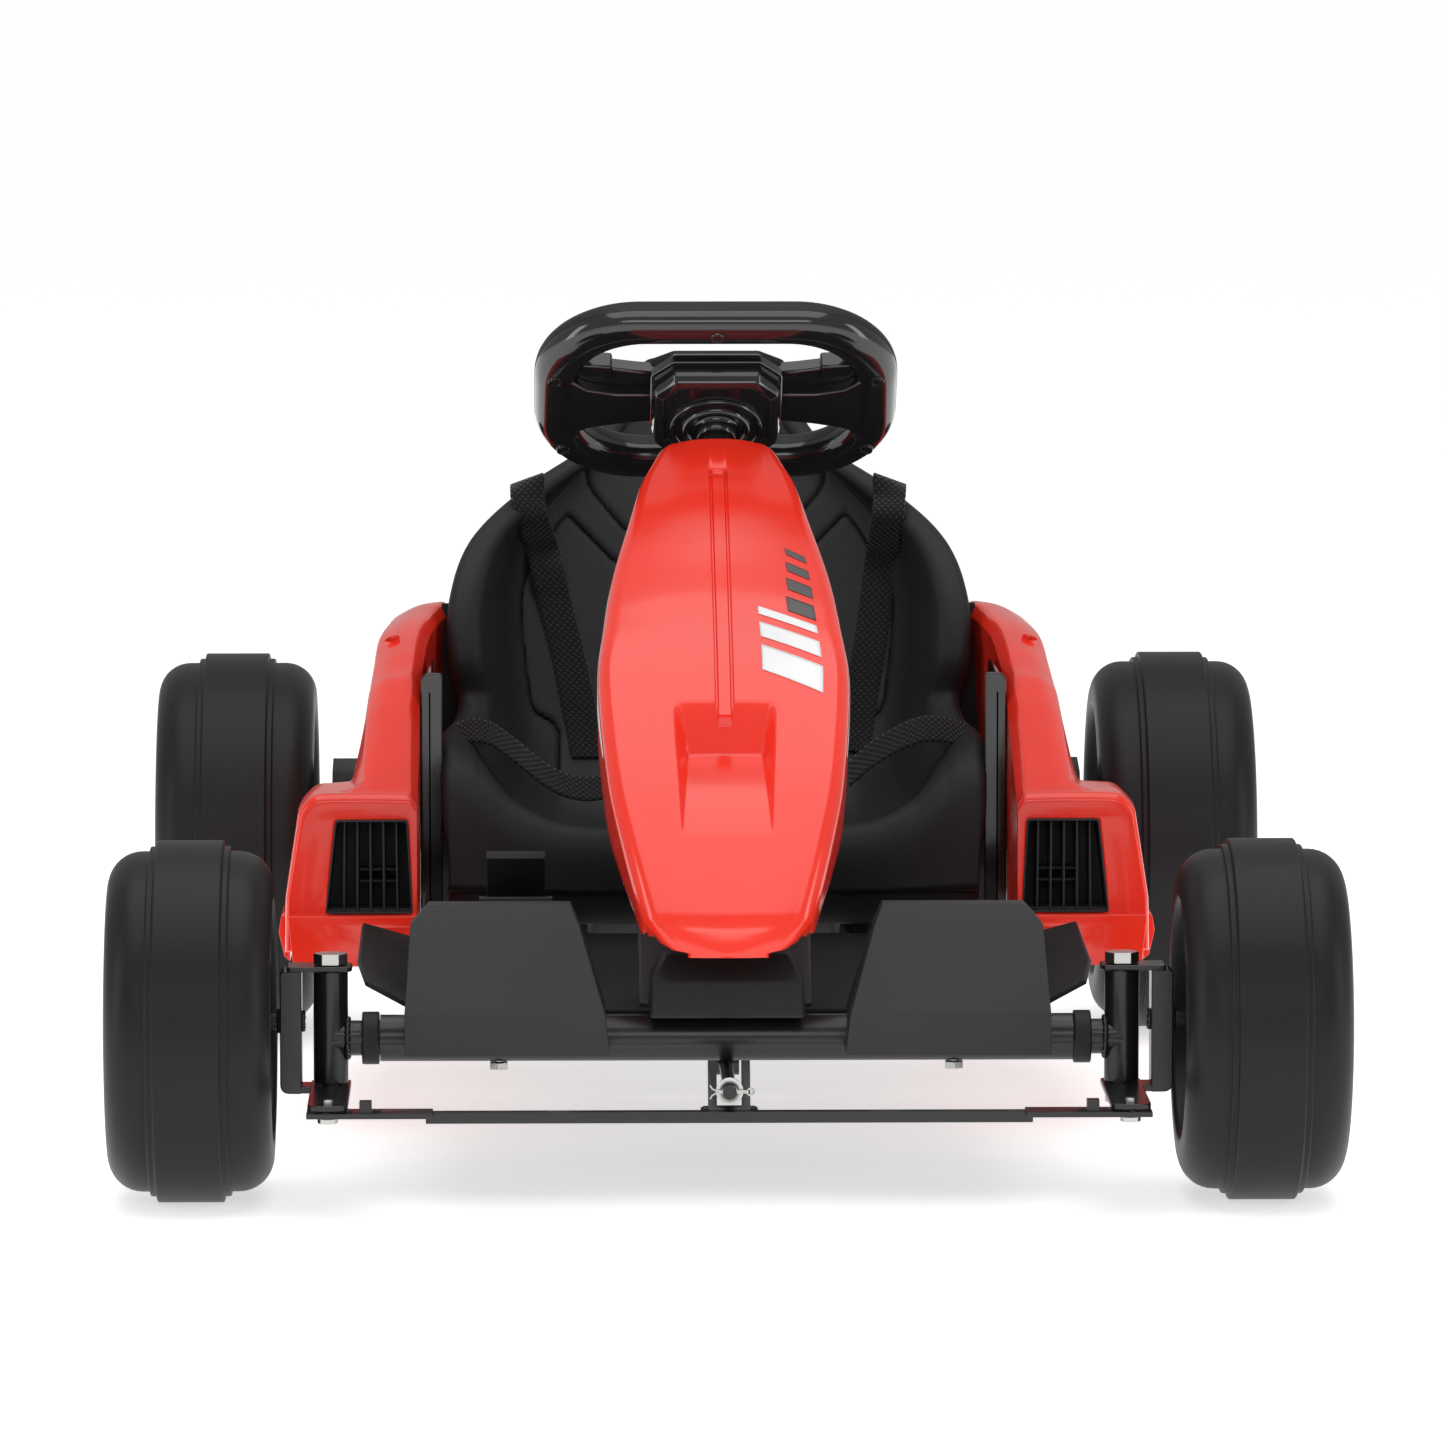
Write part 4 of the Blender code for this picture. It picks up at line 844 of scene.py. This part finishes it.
# ---------------------------------------------------------------- side pods
POD_SECTIONS = [  # distance behind the front axle, then x and height round the section from the inner foot
    (0.2750, ((0.1815, 0.110), (0.1815, 0.193), (0.1855, 0.1985), (0.2050, 0.1990), (0.2220, 0.1990),
              (0.2320, 0.1990), (0.2420, 0.1985), (0.2500, 0.190), (0.2585, 0.140), (0.2590, 0.110))),
    (0.2810, ((0.1810, 0.108), (0.1810, 0.197), (0.1855, 0.2040), (0.2050, 0.2045), (0.2220, 0.2045),
              (0.2320, 0.2045), (0.2440, 0.2040), (0.2525, 0.195), (0.2610, 0.140), (0.2615, 0.108))),
    (0.3000, ((0.1810, 0.108), (0.1810, 0.205), (0.1865, 0.2125), (0.2050, 0.2135), (0.2135, 0.2110),
              (0.2195, 0.2055), (0.2440, 0.2048), (0.2530, 0.196), (0.2615, 0.140), (0.2620, 0.108))),
    (0.3350, ((0.1810, 0.108), (0.1810, 0.219), (0.1865, 0.2275), (0.2060, 0.2285), (0.2140, 0.2240),
              (0.2215, 0.2055), (0.2435, 0.2045), (0.2525, 0.195), (0.2610, 0.140), (0.2615, 0.108))),
    (0.3800, ((0.1810, 0.108), (0.1810, 0.237), (0.1865, 0.2465), (0.2060, 0.2460), (0.2135, 0.2400),
              (0.2225, 0.2010), (0.2420, 0.1990), (0.2505, 0.189), (0.2590, 0.140), (0.2600, 0.108))),
    (0.4200, ((0.1810, 0.108), (0.1810, 0.253), (0.1865, 0.2625), (0.2040, 0.2600), (0.2125, 0.2525),
              (0.2215, 0.1960), (0.2400, 0.1930), (0.2485, 0.183), (0.2570, 0.140), (0.2580, 0.108))),
    (0.4700, ((0.1805, 0.108), (0.1795, 0.265), (0.1850, 0.2745), (0.2010, 0.2720), (0.2105, 0.2640),
              (0.2205, 0.1900), (0.2370, 0.1860), (0.2455, 0.176), (0.2530, 0.135), (0.2540, 0.108))),
    (0.5200, ((0.1800, 0.108), (0.1765, 0.276), (0.1820, 0.2845), (0.1975, 0.2825), (0.2085, 0.2760),
              (0.2190, 0.1840), (0.2330, 0.1790), (0.2410, 0.168), (0.2480, 0.135), (0.2490, 0.108))),
    (0.5700, ((0.1790, 0.115), (0.1705, 0.281), (0.1750, 0.2895), (0.1890, 0.2885), (0.2040, 0.2800),
              (0.2140, 0.1780), (0.2260, 0.1730), (0.2330, 0.160), (0.2370, 0.135), (0.2360, 0.115))),
    (0.6000, ((0.1785, 0.127), (0.1630, 0.284), (0.1675, 0.2920), (0.1850, 0.2900), (0.2010, 0.2810),
              (0.2090, 0.1840), (0.2190, 0.1765), (0.2250, 0.165), (0.2280, 0.145), (0.2270, 0.127))),
    (0.6280, ((0.1780, 0.140), (0.1640, 0.281), (0.1685, 0.2885), (0.1840, 0.2870), (0.1980, 0.2790),
              (0.2040, 0.1900), (0.2120, 0.1800), (0.2170, 0.170), (0.2190, 0.155), (0.2180, 0.140)))]
POD_END = 0.628
POD_ROUND = (0.0015, 0.0050, 0.0400, 0.0080, 0.0040, 0.0120, 0.0120, 0.0300)
VENT = [(0.1840, 0.1318), (0.1870, 0.1887), (0.2305, 0.1887), (0.2368, 0.1318)]
SKIRT = [(0.1815, 0.1315), (0.1815, 0.1250), (0.2075, 0.1245), (0.2130, 0.1218), (0.2155, 0.1160),
         (0.2155, 0.1010), (0.2560, 0.1010), (0.2592, 0.1315)]


def round_corner(before, corner, after, radius, steps=4):
    """Points of the arc that eases one corner of an outline, in its own plane."""
    before, corner, after = Vector(before), Vector(corner), Vector(after)
    one, two = (before - corner), (after - corner)
    turn = math.pi - one.angle(two)
    reach = min(radius * math.tan(turn / 2), 0.45 * one.length, 0.45 * two.length)
    start, end = corner + one.normalized() * reach, corner + two.normalized() * reach
    out = []
    for i in range(steps + 1):
        t = i / steps
        out.append(start * (1 - t) ** 2 + corner * 2 * t * (1 - t) + end * t * t)
    return out


def round_outline(points, radii, steps=4):
    """A closed outline with every corner eased."""
    out = []
    for k, point in enumerate(points):
        out += round_corner(points[k - 1], point, points[(k + 1) % len(points)], radii[k % len(radii)], steps)
    return out


def along_line(points, share):
    """The point a share of the way along a polyline."""
    spans = [(b - a).length for a, b in zip(points, points[1:])]
    left = share * sum(spans)
    for (a, b), span in zip(zip(points, points[1:]), spans):
        if left <= span or b is points[-1]:
            return a.lerp(b, min(left / span, 1.0) if span else 0)
        left -= span
    return points[-1]


def pod_section(d):
    """The pod's section at d: straight rules up the front slope, then a smooth run to the back."""
    spots = [entry[0] for entry in POD_SECTIONS]
    for k in range(len(spots) - 1):
        if d <= spots[k + 1] or k == len(spots) - 2:
            share = (d - spots[k]) / (spots[k + 1] - spots[k])
            break
    out = []
    for i in range(10):
        column = [entry[1][i] for entry in POD_SECTIONS]
        if k >= 5:
            out.append(Vector(spline(column[5:], k - 5 + share)))
        else:
            out.append(Vector(column[k]).lerp(Vector(column[k + 1]), share))
    return out


def pod_ring(points):
    """A section with its corners rounded and the straight run under it, as x and height pairs."""
    ring = [points[0]]
    for k in range(1, 9):
        ring += round_corner(points[k - 1], points[k], points[k + 1], POD_ROUND[k - 1])
    ring.append(points[9])
    return ring + [points[9].lerp(points[0], i / 6) for i in range(1, 6)]


def vent_ring(front, grow):
    """The vent's outline with one point for each point of the pod's front outline."""
    centre = sum((Vector(p) for p in VENT), Vector((0, 0))) / 4
    corners = [Vector(p) + Vector((math.copysign(grow, p[0] - centre.x), math.copysign(grow, p[1] - centre.y)))
               for p in VENT]
    dense = round_outline(corners, (0.0022,))
    marks = [0, 8, 33, 41, len(front)]
    out = []
    for side in range(4):
        edge = dense[side * 5 + 2:side * 5 + 5] + [dense[(side * 5 + 5 + k) % 20] for k in range(3)]
        run = (front + front[:1])[marks[side]:marks[side + 1] + 1]
        spans = [0.0]
        for a, b in zip(run, run[1:]):
            spans.append(spans[-1] + (b - a).length)
        out += [along_line(edge, span / spans[-1]) for span in spans[:-1]]
    return out


def cut_away(obj, builder):
    """Takes a helper shape out of a piece."""
    helper = new_object("helper", builder)
    gap = obj.modifiers.new("gap", "BOOLEAN")
    gap.operation = "DIFFERENCE"
    gap.object = helper
    settle(obj)
    bpy.data.objects.remove(helper)


def mirrored(obj, name):
    """A copy of a piece on the other side of the kart."""
    work = bmesh.new()
    work.from_mesh(obj.data)
    bmesh.ops.scale(work, vec=(-1, 1, 1), verts=work.verts)
    bmesh.ops.reverse_faces(work, faces=work.faces)
    return object_of(name, work)


def pod_rows():
    """Distances and rings of a pod's skin: out of the vent, round the front's edge, and back to the pod's end."""
    front = pod_ring(pod_section(0.275))
    rows = [(d, vent_ring(front, grow)) for d, grow in
            ((0.2790, 0.0), (0.2758, 0.0), (0.2751, 0.0007), (0.2750, 0.0012))]
    rows.append((0.2750, [b.lerp(a, 0.985) for a, b in zip(front, rows[-1][1])]))
    first, second = pod_section(0.275), pod_section(0.281)
    for i in range(9):
        angle = math.pi / 2 * i / 8
        rows.append((0.275 + 0.006 * (1 - math.cos(angle)),
                     pod_ring([a.lerp(b, math.sin(angle)) for a, b in zip(first, second)])))
    d = 0.287
    while d < POD_END + 0.0005:
        rows.append((min(d, POD_END), pod_ring(pod_section(min(d, POD_END)))))
        d += 0.0062
    return rows


def build_pods():
    """Both side pods: shell, screw in its cup, and the lip under the vent. The right is the left's mirror."""
    grid = [[Vector((p.x, at(d), p.y)) for p in ring] for d, ring in pod_rows()]
    # Past the front face the skin is left open underneath, where the ring's last points run straight back.
    pod = new_object("pod_shell_left", lambda work: add_grid(
        work, grid, round_trip=True, skip=lambda r, i: r > 16 and i >= 41))
    add_wall(pod, SHELL_WALL)
    spot = Vector((0.1990, at(0.492), 0.2765))
    lean = Vector((0.28, -0.24, 1.0)).normalized()
    cut_away(pod, lambda work: add_rod(work, spot - lean * 0.02, spot + lean * 0.02, 0.0048, 32))
    turn = along_axis(spot, lean)
    cup = turned("pod_screw_cup_left", [
        (0.0048, 0.002), (0.0048, -0.0065), (0.0001, -0.0065), (0.0001, -0.0057), (0.0038, -0.0057),
        (0.0040, -0.001), (0.0046, 0.0008)], turn)
    head = turned("pod_screw_left", [
        (0.0001, -0.0057), (0.0032, -0.0057), (0.0031, -0.0042), (0.0024, -0.0034), (0.0001, -0.0031)], turn)

    def fill(work):
        outline = round_outline(SKIRT, (0.0012, 0.001, 0.002, 0.002, 0.002, 0.002, 0.003, 0.0015), 3)
        add_prism(work, outline, 0.0112, upright(at(0.2700)))
        add_loft(work, [[(x, at(d), z) for x, z in ((0.2595, 0.131), (0.2640, 0.128), (0.2655, 0.119),
                                                     (0.2620, 0.104), (0.2585, 0.101))] for d in (0.290, 0.345)])
    skirt = settle(soften(new_object("pod_skirt_left", fill), 0.0011, 3))
    for piece, look, smooth, node in ((pod, RED, 32, "side_pod_"), (cup, RED, 40, None),
                                      (head, DARK_STEEL, 40, None), (skirt, RED, 50, None)):
        other = mirrored(piece, piece.name[:-4] + "right")
        finish_piece(piece, look, node and node + "left", "chassis", smooth)
        finish_piece(other, look, node and node + "right", "chassis", smooth)
    for side, sign in SIDES:
        build_grille(side, sign)
        build_guard(side, sign)


def build_grille(side, sign):
    """Louvre box behind the vent: a rim, five upright fins and two short cross bars, closed at the back."""
    rim = round_outline(VENT, (0.0022,))
    centre = sum(rim, Vector((0, 0))) / len(rim)

    def ring(d, grow):
        return [Vector((sign * (p.x + (p - centre).normalized().x * grow), at(d),
                        p.y + (p - centre).normalized().y * grow)) for p in rim]

    def fill(work):
        add_loft(work, [ring(0.3055, 0.0006), ring(0.2752, 0.0002), ring(0.2746, -0.0003), ring(0.2746, -0.0010),
                        ring(0.2752, -0.0014), ring(0.3030, -0.0022)])
        for i in range(1, 6):
            x = 0.1848 + 0.0078 * i + 0.0012
            foot, head = (x + 0.0003 * (i - 3), 0.1322), (x, 0.1882)
            near, far = 0.2762 + 0.0006 * (i % 2), 0.3035
            add_loft(work, [[Vector((sign * (px + w), at(d), pz)) for (px, pz), w in
                             ((foot, -half), (foot, half), (head, half), (head, -half))]
                            for d, half in ((near, 0.00045), (near + 0.0008, 0.0007), (far, 0.0009))])
        for z in (0.1505, 0.1575):
            xs = sorted((sign * 0.1935, sign * 0.2165))
            add_box(work, (xs[0], at(0.3035), z - 0.0007), (xs[1], at(0.286), z + 0.0007))
        xs = sorted((sign * 0.1850, sign * 0.2350))
        add_box(work, (xs[0], at(0.3035), 0.1320), (xs[1], at(0.2785), 0.1345))

    finish_piece(soften(new_object("vent_louvre_" + side, fill), 0.0002, 1), SLATE, "vent_grille_" + side)


def build_guard(side, sign):
    """Glossy panel inside the pod, its front edge flanged across the gap beside the seat, and a black plate behind it
    that is painted shade: a dark sheet across the see-through gap, its upper part standing in for the pod's inner wall
    in deep shadow.
    """
    def fill(work):
        outline = round_outline([(-at(d), z) for d, z in ((0.400, 0.112), (0.400, 0.2655), (0.500, 0.2655),
                                                          (0.500, 0.112))], (0.002, 0.012, 0.012, 0.002))
        add_prism(work, outline, 0.0026, Matrix(((0, 0, 1, sign * 0.175), (-1, 0, 0, 0), (0, 1, 0, 0),
                                                 (0, 0, 0, 1))))
        face = round_outline([(sign * x, z) for x, z in ((0.1672, 0.112), (0.1672, 0.2655), (0.1804, 0.2655),
                                                         (0.1806, 0.112))], (0.001, 0.002, 0.009, 0.001))
        add_prism(work, face, 0.0026, upright(at(0.4013)))

    finish_piece(soften(new_object("guard_" + side, fill), 0.0009, 3), GLOSS, "guard_panel_" + side)

    # Painted shade: a black sheet behind the seat, up where the pod's red inner wall lies in deep shadow.
    def shade_sheet(work):
        shape = [(sign * x, z) for x, z in ((0.150, 0.112), (0.1775, 0.112), (0.1705, 0.262), (0.1695, 0.292),
                                            (0.150, 0.292))]
        add_prism(work, shape, 0.0024, upright(at(0.5860)))

    finish_piece(soften(new_object("side_backing_" + side, shade_sheet), 0.0008, 2), BLACK, None, "chassis")


def build_closing_panel():
    """Flat panel across the kart, below the seat."""
    panel = new_object("closing_panel", lambda work: add_box(work, (-0.1775, at(0.5848), 0.0740),
                                                             (0.1775, at(0.5872), 0.1135)))
    finish_piece(soften(panel, 0.0008, 2), BLACK, None, "chassis")


# ---------------------------------------------------------------- steering wheel
RIM_POWER = 0.86  # below 1, so that the grip's section is squarer than an ellipse
RIM_RISE = 0.0122  # half the grip's depth


def rim_outline(half_x, half_y, corner):
    """Rounded rectangle in the wheel's plane, sampled alike for every size."""
    def place(quarter, share):
        sx, sy = ((1, 1), (-1, 1), (-1, -1), (1, -1))[quarter % 4]
        angle = math.pi / 2 * (quarter + share)
        return Vector((sx * (half_x - corner) + corner * math.cos(angle),
                       sy * (half_y - corner) + corner * math.sin(angle)))

    out = []
    for quarter in range(4):
        out += [place(quarter, step / 24) for step in range(25)]
        out += [out[-1].lerp(place(quarter + 1, 0), k / 8) for k in range(1, 8)]
    return out


def rim_piece(name, look, start, end, grow, node=None):
    """Half of the rim's section, start to end in degrees, swept round between the outer and inner outlines."""
    outer, inner = rim_outline(0.1100, 0.0810, 0.0625), rim_outline(0.0830, 0.0560, 0.0420)
    turn = wheel_frame()
    rings = []
    for one, two in zip(outer, inner):
        centre, half = (one + two) / 2, (one - two) / 2
        ring = []
        for i in range(19):
            angle = math.radians(start + (end - start) * i / 18)
            reach = math.copysign(abs(math.cos(angle)) ** RIM_POWER, math.cos(angle)) * grow
            rise = math.copysign(abs(math.sin(angle)) ** RIM_POWER, math.sin(angle)) * RIM_RISE
            spot = centre + half * reach
            ring.append(turn @ Vector((spot.x, spot.y, rise)))
        rings.append(ring)

    def fill(work):
        add_grid(work, rings + rings[:1], round_trip=True)
        bmesh.ops.remove_doubles(work, verts=work.verts, dist=0.000001)
    finish_piece(new_object(name, fill), look, node, "steering")


def build_steering_wheel():
    """Rim in two halves, two spokes, centre pad with the horn cap sunk in it, and the rim's screws."""
    rim_piece("rim_lower", GLOSS, 180, 360, 0.985, "steering_wheel")
    rim_piece("rim_grip", BLACK, 0, 180, 1.0)
    turn = wheel_frame()

    def flat(work, outline, low, high, sign=1):
        add_loft(work, [[turn @ Vector((x * sign, y, z)) for x, y in outline] for z in (low, high)])

    def spokes(work):
        for sign in (1, -1):
            flat(work, ((0.034, -0.0170), (0.060, -0.0215), (0.078, -0.0262), (0.088, -0.0330), (0.094, -0.0330),
                        (0.096, 0.0200), (0.088, 0.0220), (0.078, 0.0130), (0.060, 0.0085), (0.034, 0.0090)),
                 -0.0105, -0.0020, sign)
            flat(work, ((0.034, -0.0150), (0.092, -0.0240), (0.094, 0.0270), (0.0790, 0.0262), (0.0640, 0.0256),
                        (0.0500, 0.0228), (0.034, 0.0206)), -0.0030, 0.0060, sign)
            flat(work, ((0.0625, 0.0180), (0.0860, 0.0200), (0.0900, 0.0300), (0.0800, 0.0305), (0.0630, 0.0290)),
                 -0.0045, 0.0075, sign)
    finish_piece(soften(new_object("wheel_spokes", spokes), 0.0016, 3), GLOSS, None, "steering")

    def pad(work):
        flat(work, round_outline(((0.042, -0.028), (0.042, 0.020), (0.026, 0.030), (-0.026, 0.030), (-0.042, 0.020),
                                  (-0.042, -0.028)), (0.006,)), 0.002, 0.0085)
    cover = soften(new_object("wheel_pad", pad), 0.0018, 3)
    cut_away(cover, lambda work: add_rod(work, turn @ Vector((0, 0, 0.0030)), turn @ Vector((0, 0, 0.03)), 0.0146, 48))
    finish_piece(cover, BLACK, None, "steering")

    button = turned("horn_cap", [(0.0001, 0.0058), (0.0140, 0.0058), (0.0140, 0.0102), (0.0134, 0.0111),
                                 (0.0110, 0.0115), (0.0085, 0.0113), (0.0078, 0.0108), (0.0001, 0.0106)], turn, 48)
    finish_piece(button, GREY, "horn_button")

    for name, (x, y) in (("top", (0.0, 0.0690)), ("left_up", (0.0975, 0.0245)), ("right_up", (-0.0975, 0.0245)),
                         ("left_low", (0.0925, -0.0455)), ("right_low", (-0.0925, -0.0455))):
        spot = turn @ Matrix.Translation((x, y, -0.0126)) @ Matrix.Rotation(math.pi, 4, "X")
        ring = turned("rim_screw_" + name, [(0.0001, -0.0012), (0.0030, -0.0012), (0.0033, 0.0002), (0.0040, 0.0004),
                                            (0.0043, -0.0004), (0.0043, -0.0040), (0.0001, -0.0040)], spot)
        finish_piece(ring, GLOSS, None, "steering")


HUB_HALF, HUB_MIDDLE = 0.039, 0.009  # the casing's half width, and its middle above the column's axis


def build_hub():
    """Two-step casing under the wheel, its round boss ringed by two ribs, and the sleeve on the column."""
    outline = round_outline(((0.039, -0.018), (0.030, -0.030), (-0.030, -0.030), (-0.039, -0.018),
                             (-0.039, 0.034), (-0.026, 0.0475), (0.026, 0.0475), (0.039, 0.034)),
                            (0.006, 0.006, 0.006, 0.006, 0.006, 0.004, 0.004, 0.006), 3)
    turn = wheel_frame()

    def fill(work):
        rings = []
        for z, grow in ((-0.0060, -0.0030), (-0.0064, -0.0016), (-0.0090, 0.0004), (-0.0142, 0.0008), (-0.0148, 0.0002),
                        (-0.0150, -0.0012), (-0.0156, -0.0014), (-0.0160, -0.0002), (-0.0168, 0.0000),
                        (-0.0262, -0.0016), (-0.0278, -0.0026), (-0.0286, -0.0048), (-0.0287, -0.0070),
                        (-0.0280, -0.0080), (-0.0278, -0.0095)):
            rings.append([turn @ Vector((p.x * (1 + grow / HUB_HALF), p.y + (p.y - HUB_MIDDLE) * grow / HUB_HALF, z))
                          for p in outline])
        add_loft(work, rings)
    finish_piece(new_object("hub_casing", fill), GLOSS, "steering_hub", smooth=32)

    down = turn @ Matrix.Rotation(math.pi, 4, "X")
    ribs = [(0.0001, 0.0280), (0.0285, 0.0280), (0.0285, 0.0292), (0.0278, 0.0302), (0.0262, 0.0306),
            (0.0250, 0.0300), (0.0246, 0.0292), (0.0212, 0.0292), (0.0208, 0.0306), (0.0198, 0.0316),
            (0.0184, 0.0316), (0.0174, 0.0308), (0.0170, 0.0296), (0.0136, 0.0298), (0.0128, 0.0306),
            (0.0122, 0.0330), (0.0120, 0.0370), (0.0116, 0.0378), (0.0001, 0.0378)]
    finish_piece(turned("hub_boss", ribs, down, 64), GLOSS, None, "steering")


# ---------------------------------------------------------------- front linkage
def add_ball(work, centre, radius):
    """A small rounded lump."""
    rings = []
    for lat in (-50, -18, 18, 50):
        angle = math.radians(lat)
        rings.append([work.verts.new(centre + Vector((
            radius * math.cos(angle) * math.cos(math.pi * k / 4), radius * math.cos(angle) * math.sin(math.pi * k / 4),
            radius * math.sin(angle)))) for k in range(8)])
    for low, high in zip(rings, rings[1:]):
        for k in range(8):
            work.faces.new((low[k], low[(k + 1) % 8], high[(k + 1) % 8], high[k]))
    work.faces.new(rings[0][::-1])
    work.faces.new(rings[-1])


def add_bead(work, points, radius, closed=False):
    """A weld bead: small lumps run together along a line."""
    places = [Vector(p) for p in points] + ([Vector(points[0])] if closed else [])
    spans = [(b - a).length for a, b in zip(places, places[1:])]
    count = max(int(sum(spans) / (radius * 0.9)), 2)
    for i in range(count + (0 if closed else 1)):
        wobble = 1 + 0.16 * math.sin(i * 2.4) + 0.09 * math.sin(i * 5.1 + 1)
        add_ball(work, along_line(places, i / count), radius * wobble)


def ring_points(centre, normal, radius, steps):
    """Points round a circle."""
    turn = along_axis(Vector(centre), normal)
    angles = [math.radians(360 * i / steps) for i in range(steps)]
    return [turn @ Vector((radius * math.cos(angle), radius * math.sin(angle), 0)) for angle in angles]


def add_round_beads(work, sign, z, rows):
    """Beads round parts that run across the kart at the front axle: x, radius, points and bead radius of each."""
    for x, radius, steps, bead in rows:
        add_bead(work, ring_points((sign * x, FRONT_AXLE.y, z), (sign, 0, 0), radius, steps), bead, True)


def build_knuckle(side, sign):
    """C bracket with a rounded foot, its top plate, steering arm, shelf and stub axle."""
    y = FRONT_AXLE.y
    flat = Matrix.Identity(4)

    def plate(work, outline, radii, turn, spot, thick):
        points = round_outline([(sign * x, other) for x, other in outline], radii, 5)
        add_prism(work, points, thick, Matrix.Translation(spot) @ turn)

    def fill(work):
        plate(work, ((0.2440, 0.0630), (0.2565, 0.0630), (0.2565, 0.1340), (0.2440, 0.1340)),
              (0.001, 0.009, 0.003, 0.001), upright(y), Vector(), 0.0220)
        plate(work, ((0.2150, y - 0.012), (0.2525, y - 0.012), (0.2525, y + 0.012), (0.2150, y + 0.012)),
              (0.006, 0.002, 0.002, 0.006), flat, Vector((0, 0, 0.1350)), 0.0030)
        plate(work, ((0.2160, y - 0.0950), (0.2390, y - 0.0950), (0.2390, y + 0.0130), (0.2160, y + 0.0130)),
              (0.008, 0.008, 0.002, 0.002), flat, Vector((0, 0, 0.06625)), 0.0035)
        plate(work, ((0.2375, y - 0.0105), (0.2500, y - 0.0105), (0.2500, y + 0.0105), (0.2375, y + 0.0105)),
              (0.001,), flat, Vector((0, 0, 0.06525)), 0.0041)
        add_rod(work, (sign * 0.250, y, FRONT_AXLE.z), (sign * 0.345, y, FRONT_AXLE.z), 0.005, 24)
    finish_piece(soften(new_object("knuckle_bracket_" + side, fill), 0.0007, 2), STEEL, "knuckle_" + side)


def build_washer():
    """The washer and the split pin on the end of the column's finger."""
    low, high = corners_of("finger_washer")
    middle_z, radius = (low.z + high.z) / 2, (high.z - low.z) / 2
    turn = along_axis((0, low.y, middle_z), (0, 1, 0))
    thick = high.y - low.y
    washer = turned("finger_washer_ring", [(0.0043, 0.0002), (0.0046, 0.0), (radius - 0.0003, 0.0), (radius, 0.0003),
                                           (radius, thick - 0.0003), (radius - 0.0003, thick), (0.0046, thick),
                                           (0.0043, thick - 0.0002)], turn, 48)
    finish_piece(washer, ZINC, "finger_washer")
    pin_y = sum(corner[1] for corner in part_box("split_pin")) / 2

    def pin(work):
        for dz in (-0.0005, 0.0005):
            line = [(0.0100, 0.0), (0.0, 0.0), (-0.0075, 0.0), (-0.0100, dz * 3), (-0.0112, dz * 7)]
            for a, b in zip(line, line[1:]):
                add_rod(work, (a[0], pin_y, middle_z + dz * 0.9 + a[1]), (b[0], pin_y, middle_z + dz * 0.9 + b[1]),
                        0.0005, 10)
        eye = ring_points((0.0118, pin_y, middle_z), (0, 1, 0), 0.0019, 20)
        for a, b in zip(eye, eye[1:] + eye[:1]):
            add_rod(work, a, b, 0.0006, 10)
    finish_piece(new_object("split_pin_wire", pin), ZINC, "split_pin")


def build_welds():
    """Weld beads where the tubes and plates meet, one piece for each body that carries them."""
    middle_y = middle("tie_rod").y

    def tie(work):
        foot_z = 0.0640
        for sign in (1, -1):
            for (x0, y0, z0), (x1, y1, z1), radius in (
                    ((0.0122, 0.0005, foot_z), (0.0150, 0.002, foot_z - 0.0004), 0.0019),
                    ((0.1680, -0.0046, 0.0610), (0.1725, -0.0046, 0.0606), 0.0014),
                    ((0.1985, -0.0060, 0.0640), (0.2025, -0.0070, 0.0640), 0.0012)):
                add_bead(work, [(sign * x0, middle_y + y0, z0), (sign * x1, middle_y + y1, z1)], radius)
    finish_piece(new_object("tie_rod_welds", tie), STEEL, None, BODY_OF["tie_rod"], smooth=60)

    def chassis(work):
        tube_z, y = 0.0940, 0.2745  # y here and below is the world's
        for sign in (1, -1):
            add_round_beads(work, sign, tube_z, ((0.2178, 0.0110, 28, 0.0017), (0.1510, 0.0118, 20, 0.0010)))
            add_bead(work, [(sign * 0.0850, y, 0.1012), (sign * 0.1050, y, 0.1012)], 0.0016)
            for spot, low, high, bead in ((y, 0.0800, 0.1010, 0.0016), (-0.3655, 0.0850, 0.0980, 0.0015)):
                for x in (0.0843, 0.1057):
                    add_bead(work, [(sign * x, spot, low), (sign * x, spot, high)], bead)
            add_bead(work, ring_points((sign * 0.0600, 0.2860, 0.1014), (0, 0, 1), 0.0064, 16), 0.0013, True)
    finish_piece(new_object("frame_welds", chassis), STEEL, None, "chassis", smooth=60)

    for side, sign in SIDES:
        def knuckle(work):
            add_round_beads(work, sign, FRONT_AXLE.z, ((0.2572, 0.0060, 18, 0.0013), (0.2434, 0.0050, 14, 0.0014)))
        finish_piece(new_object("knuckle_welds_" + side, knuckle), STEEL, None, BODY_OF["knuckle_" + side], smooth=60)


# ---------------------------------------------------------------- assemble
build_stage()
build_wheels()
build_fairing()
build_seat()
build_seat_base()
build_harness()
build_pods()
build_closing_panel()
build_steering_wheel()
build_hub()
build_washer()
build_welds()
for side, sign in SIDES:
    build_knuckle(side, sign)

EASING = {"bumper_block": 0.0030, "front_cover": 0.0022, "column_support": 0.0020, "floor_tray": 0.0008,
          "tube_collar": 0.0010, "gearbox": 0.0040, "battery_case": 0.0030, "controller_box": 0.0015,
          "kingpin_bolt": 0.0005, "tie_rod_bolt": 0.0004, "block_bolt": 0.0004, "steering_column": 0.0004,
          "tie_rod": 0.0005, "pedal_base": 0.0012, "accelerator_pedal": 0.0012}
LOOK_OF = {"bumper_block": SLATE, "column_support": GREY, "accelerator_pedal": SLATE, "pedal_base": SLATE}
for entry in frame["record"]["subparts"]:
    node = entry["node"]
    if NODES[node].hide_render:
        continue
    family = node.replace("_left", "").replace("_right", "")
    refined(node, LOOK_OF.get(family, LOOKS[entry["material_slot"]]), EASING.get(family, 0.0006), 3, 32)
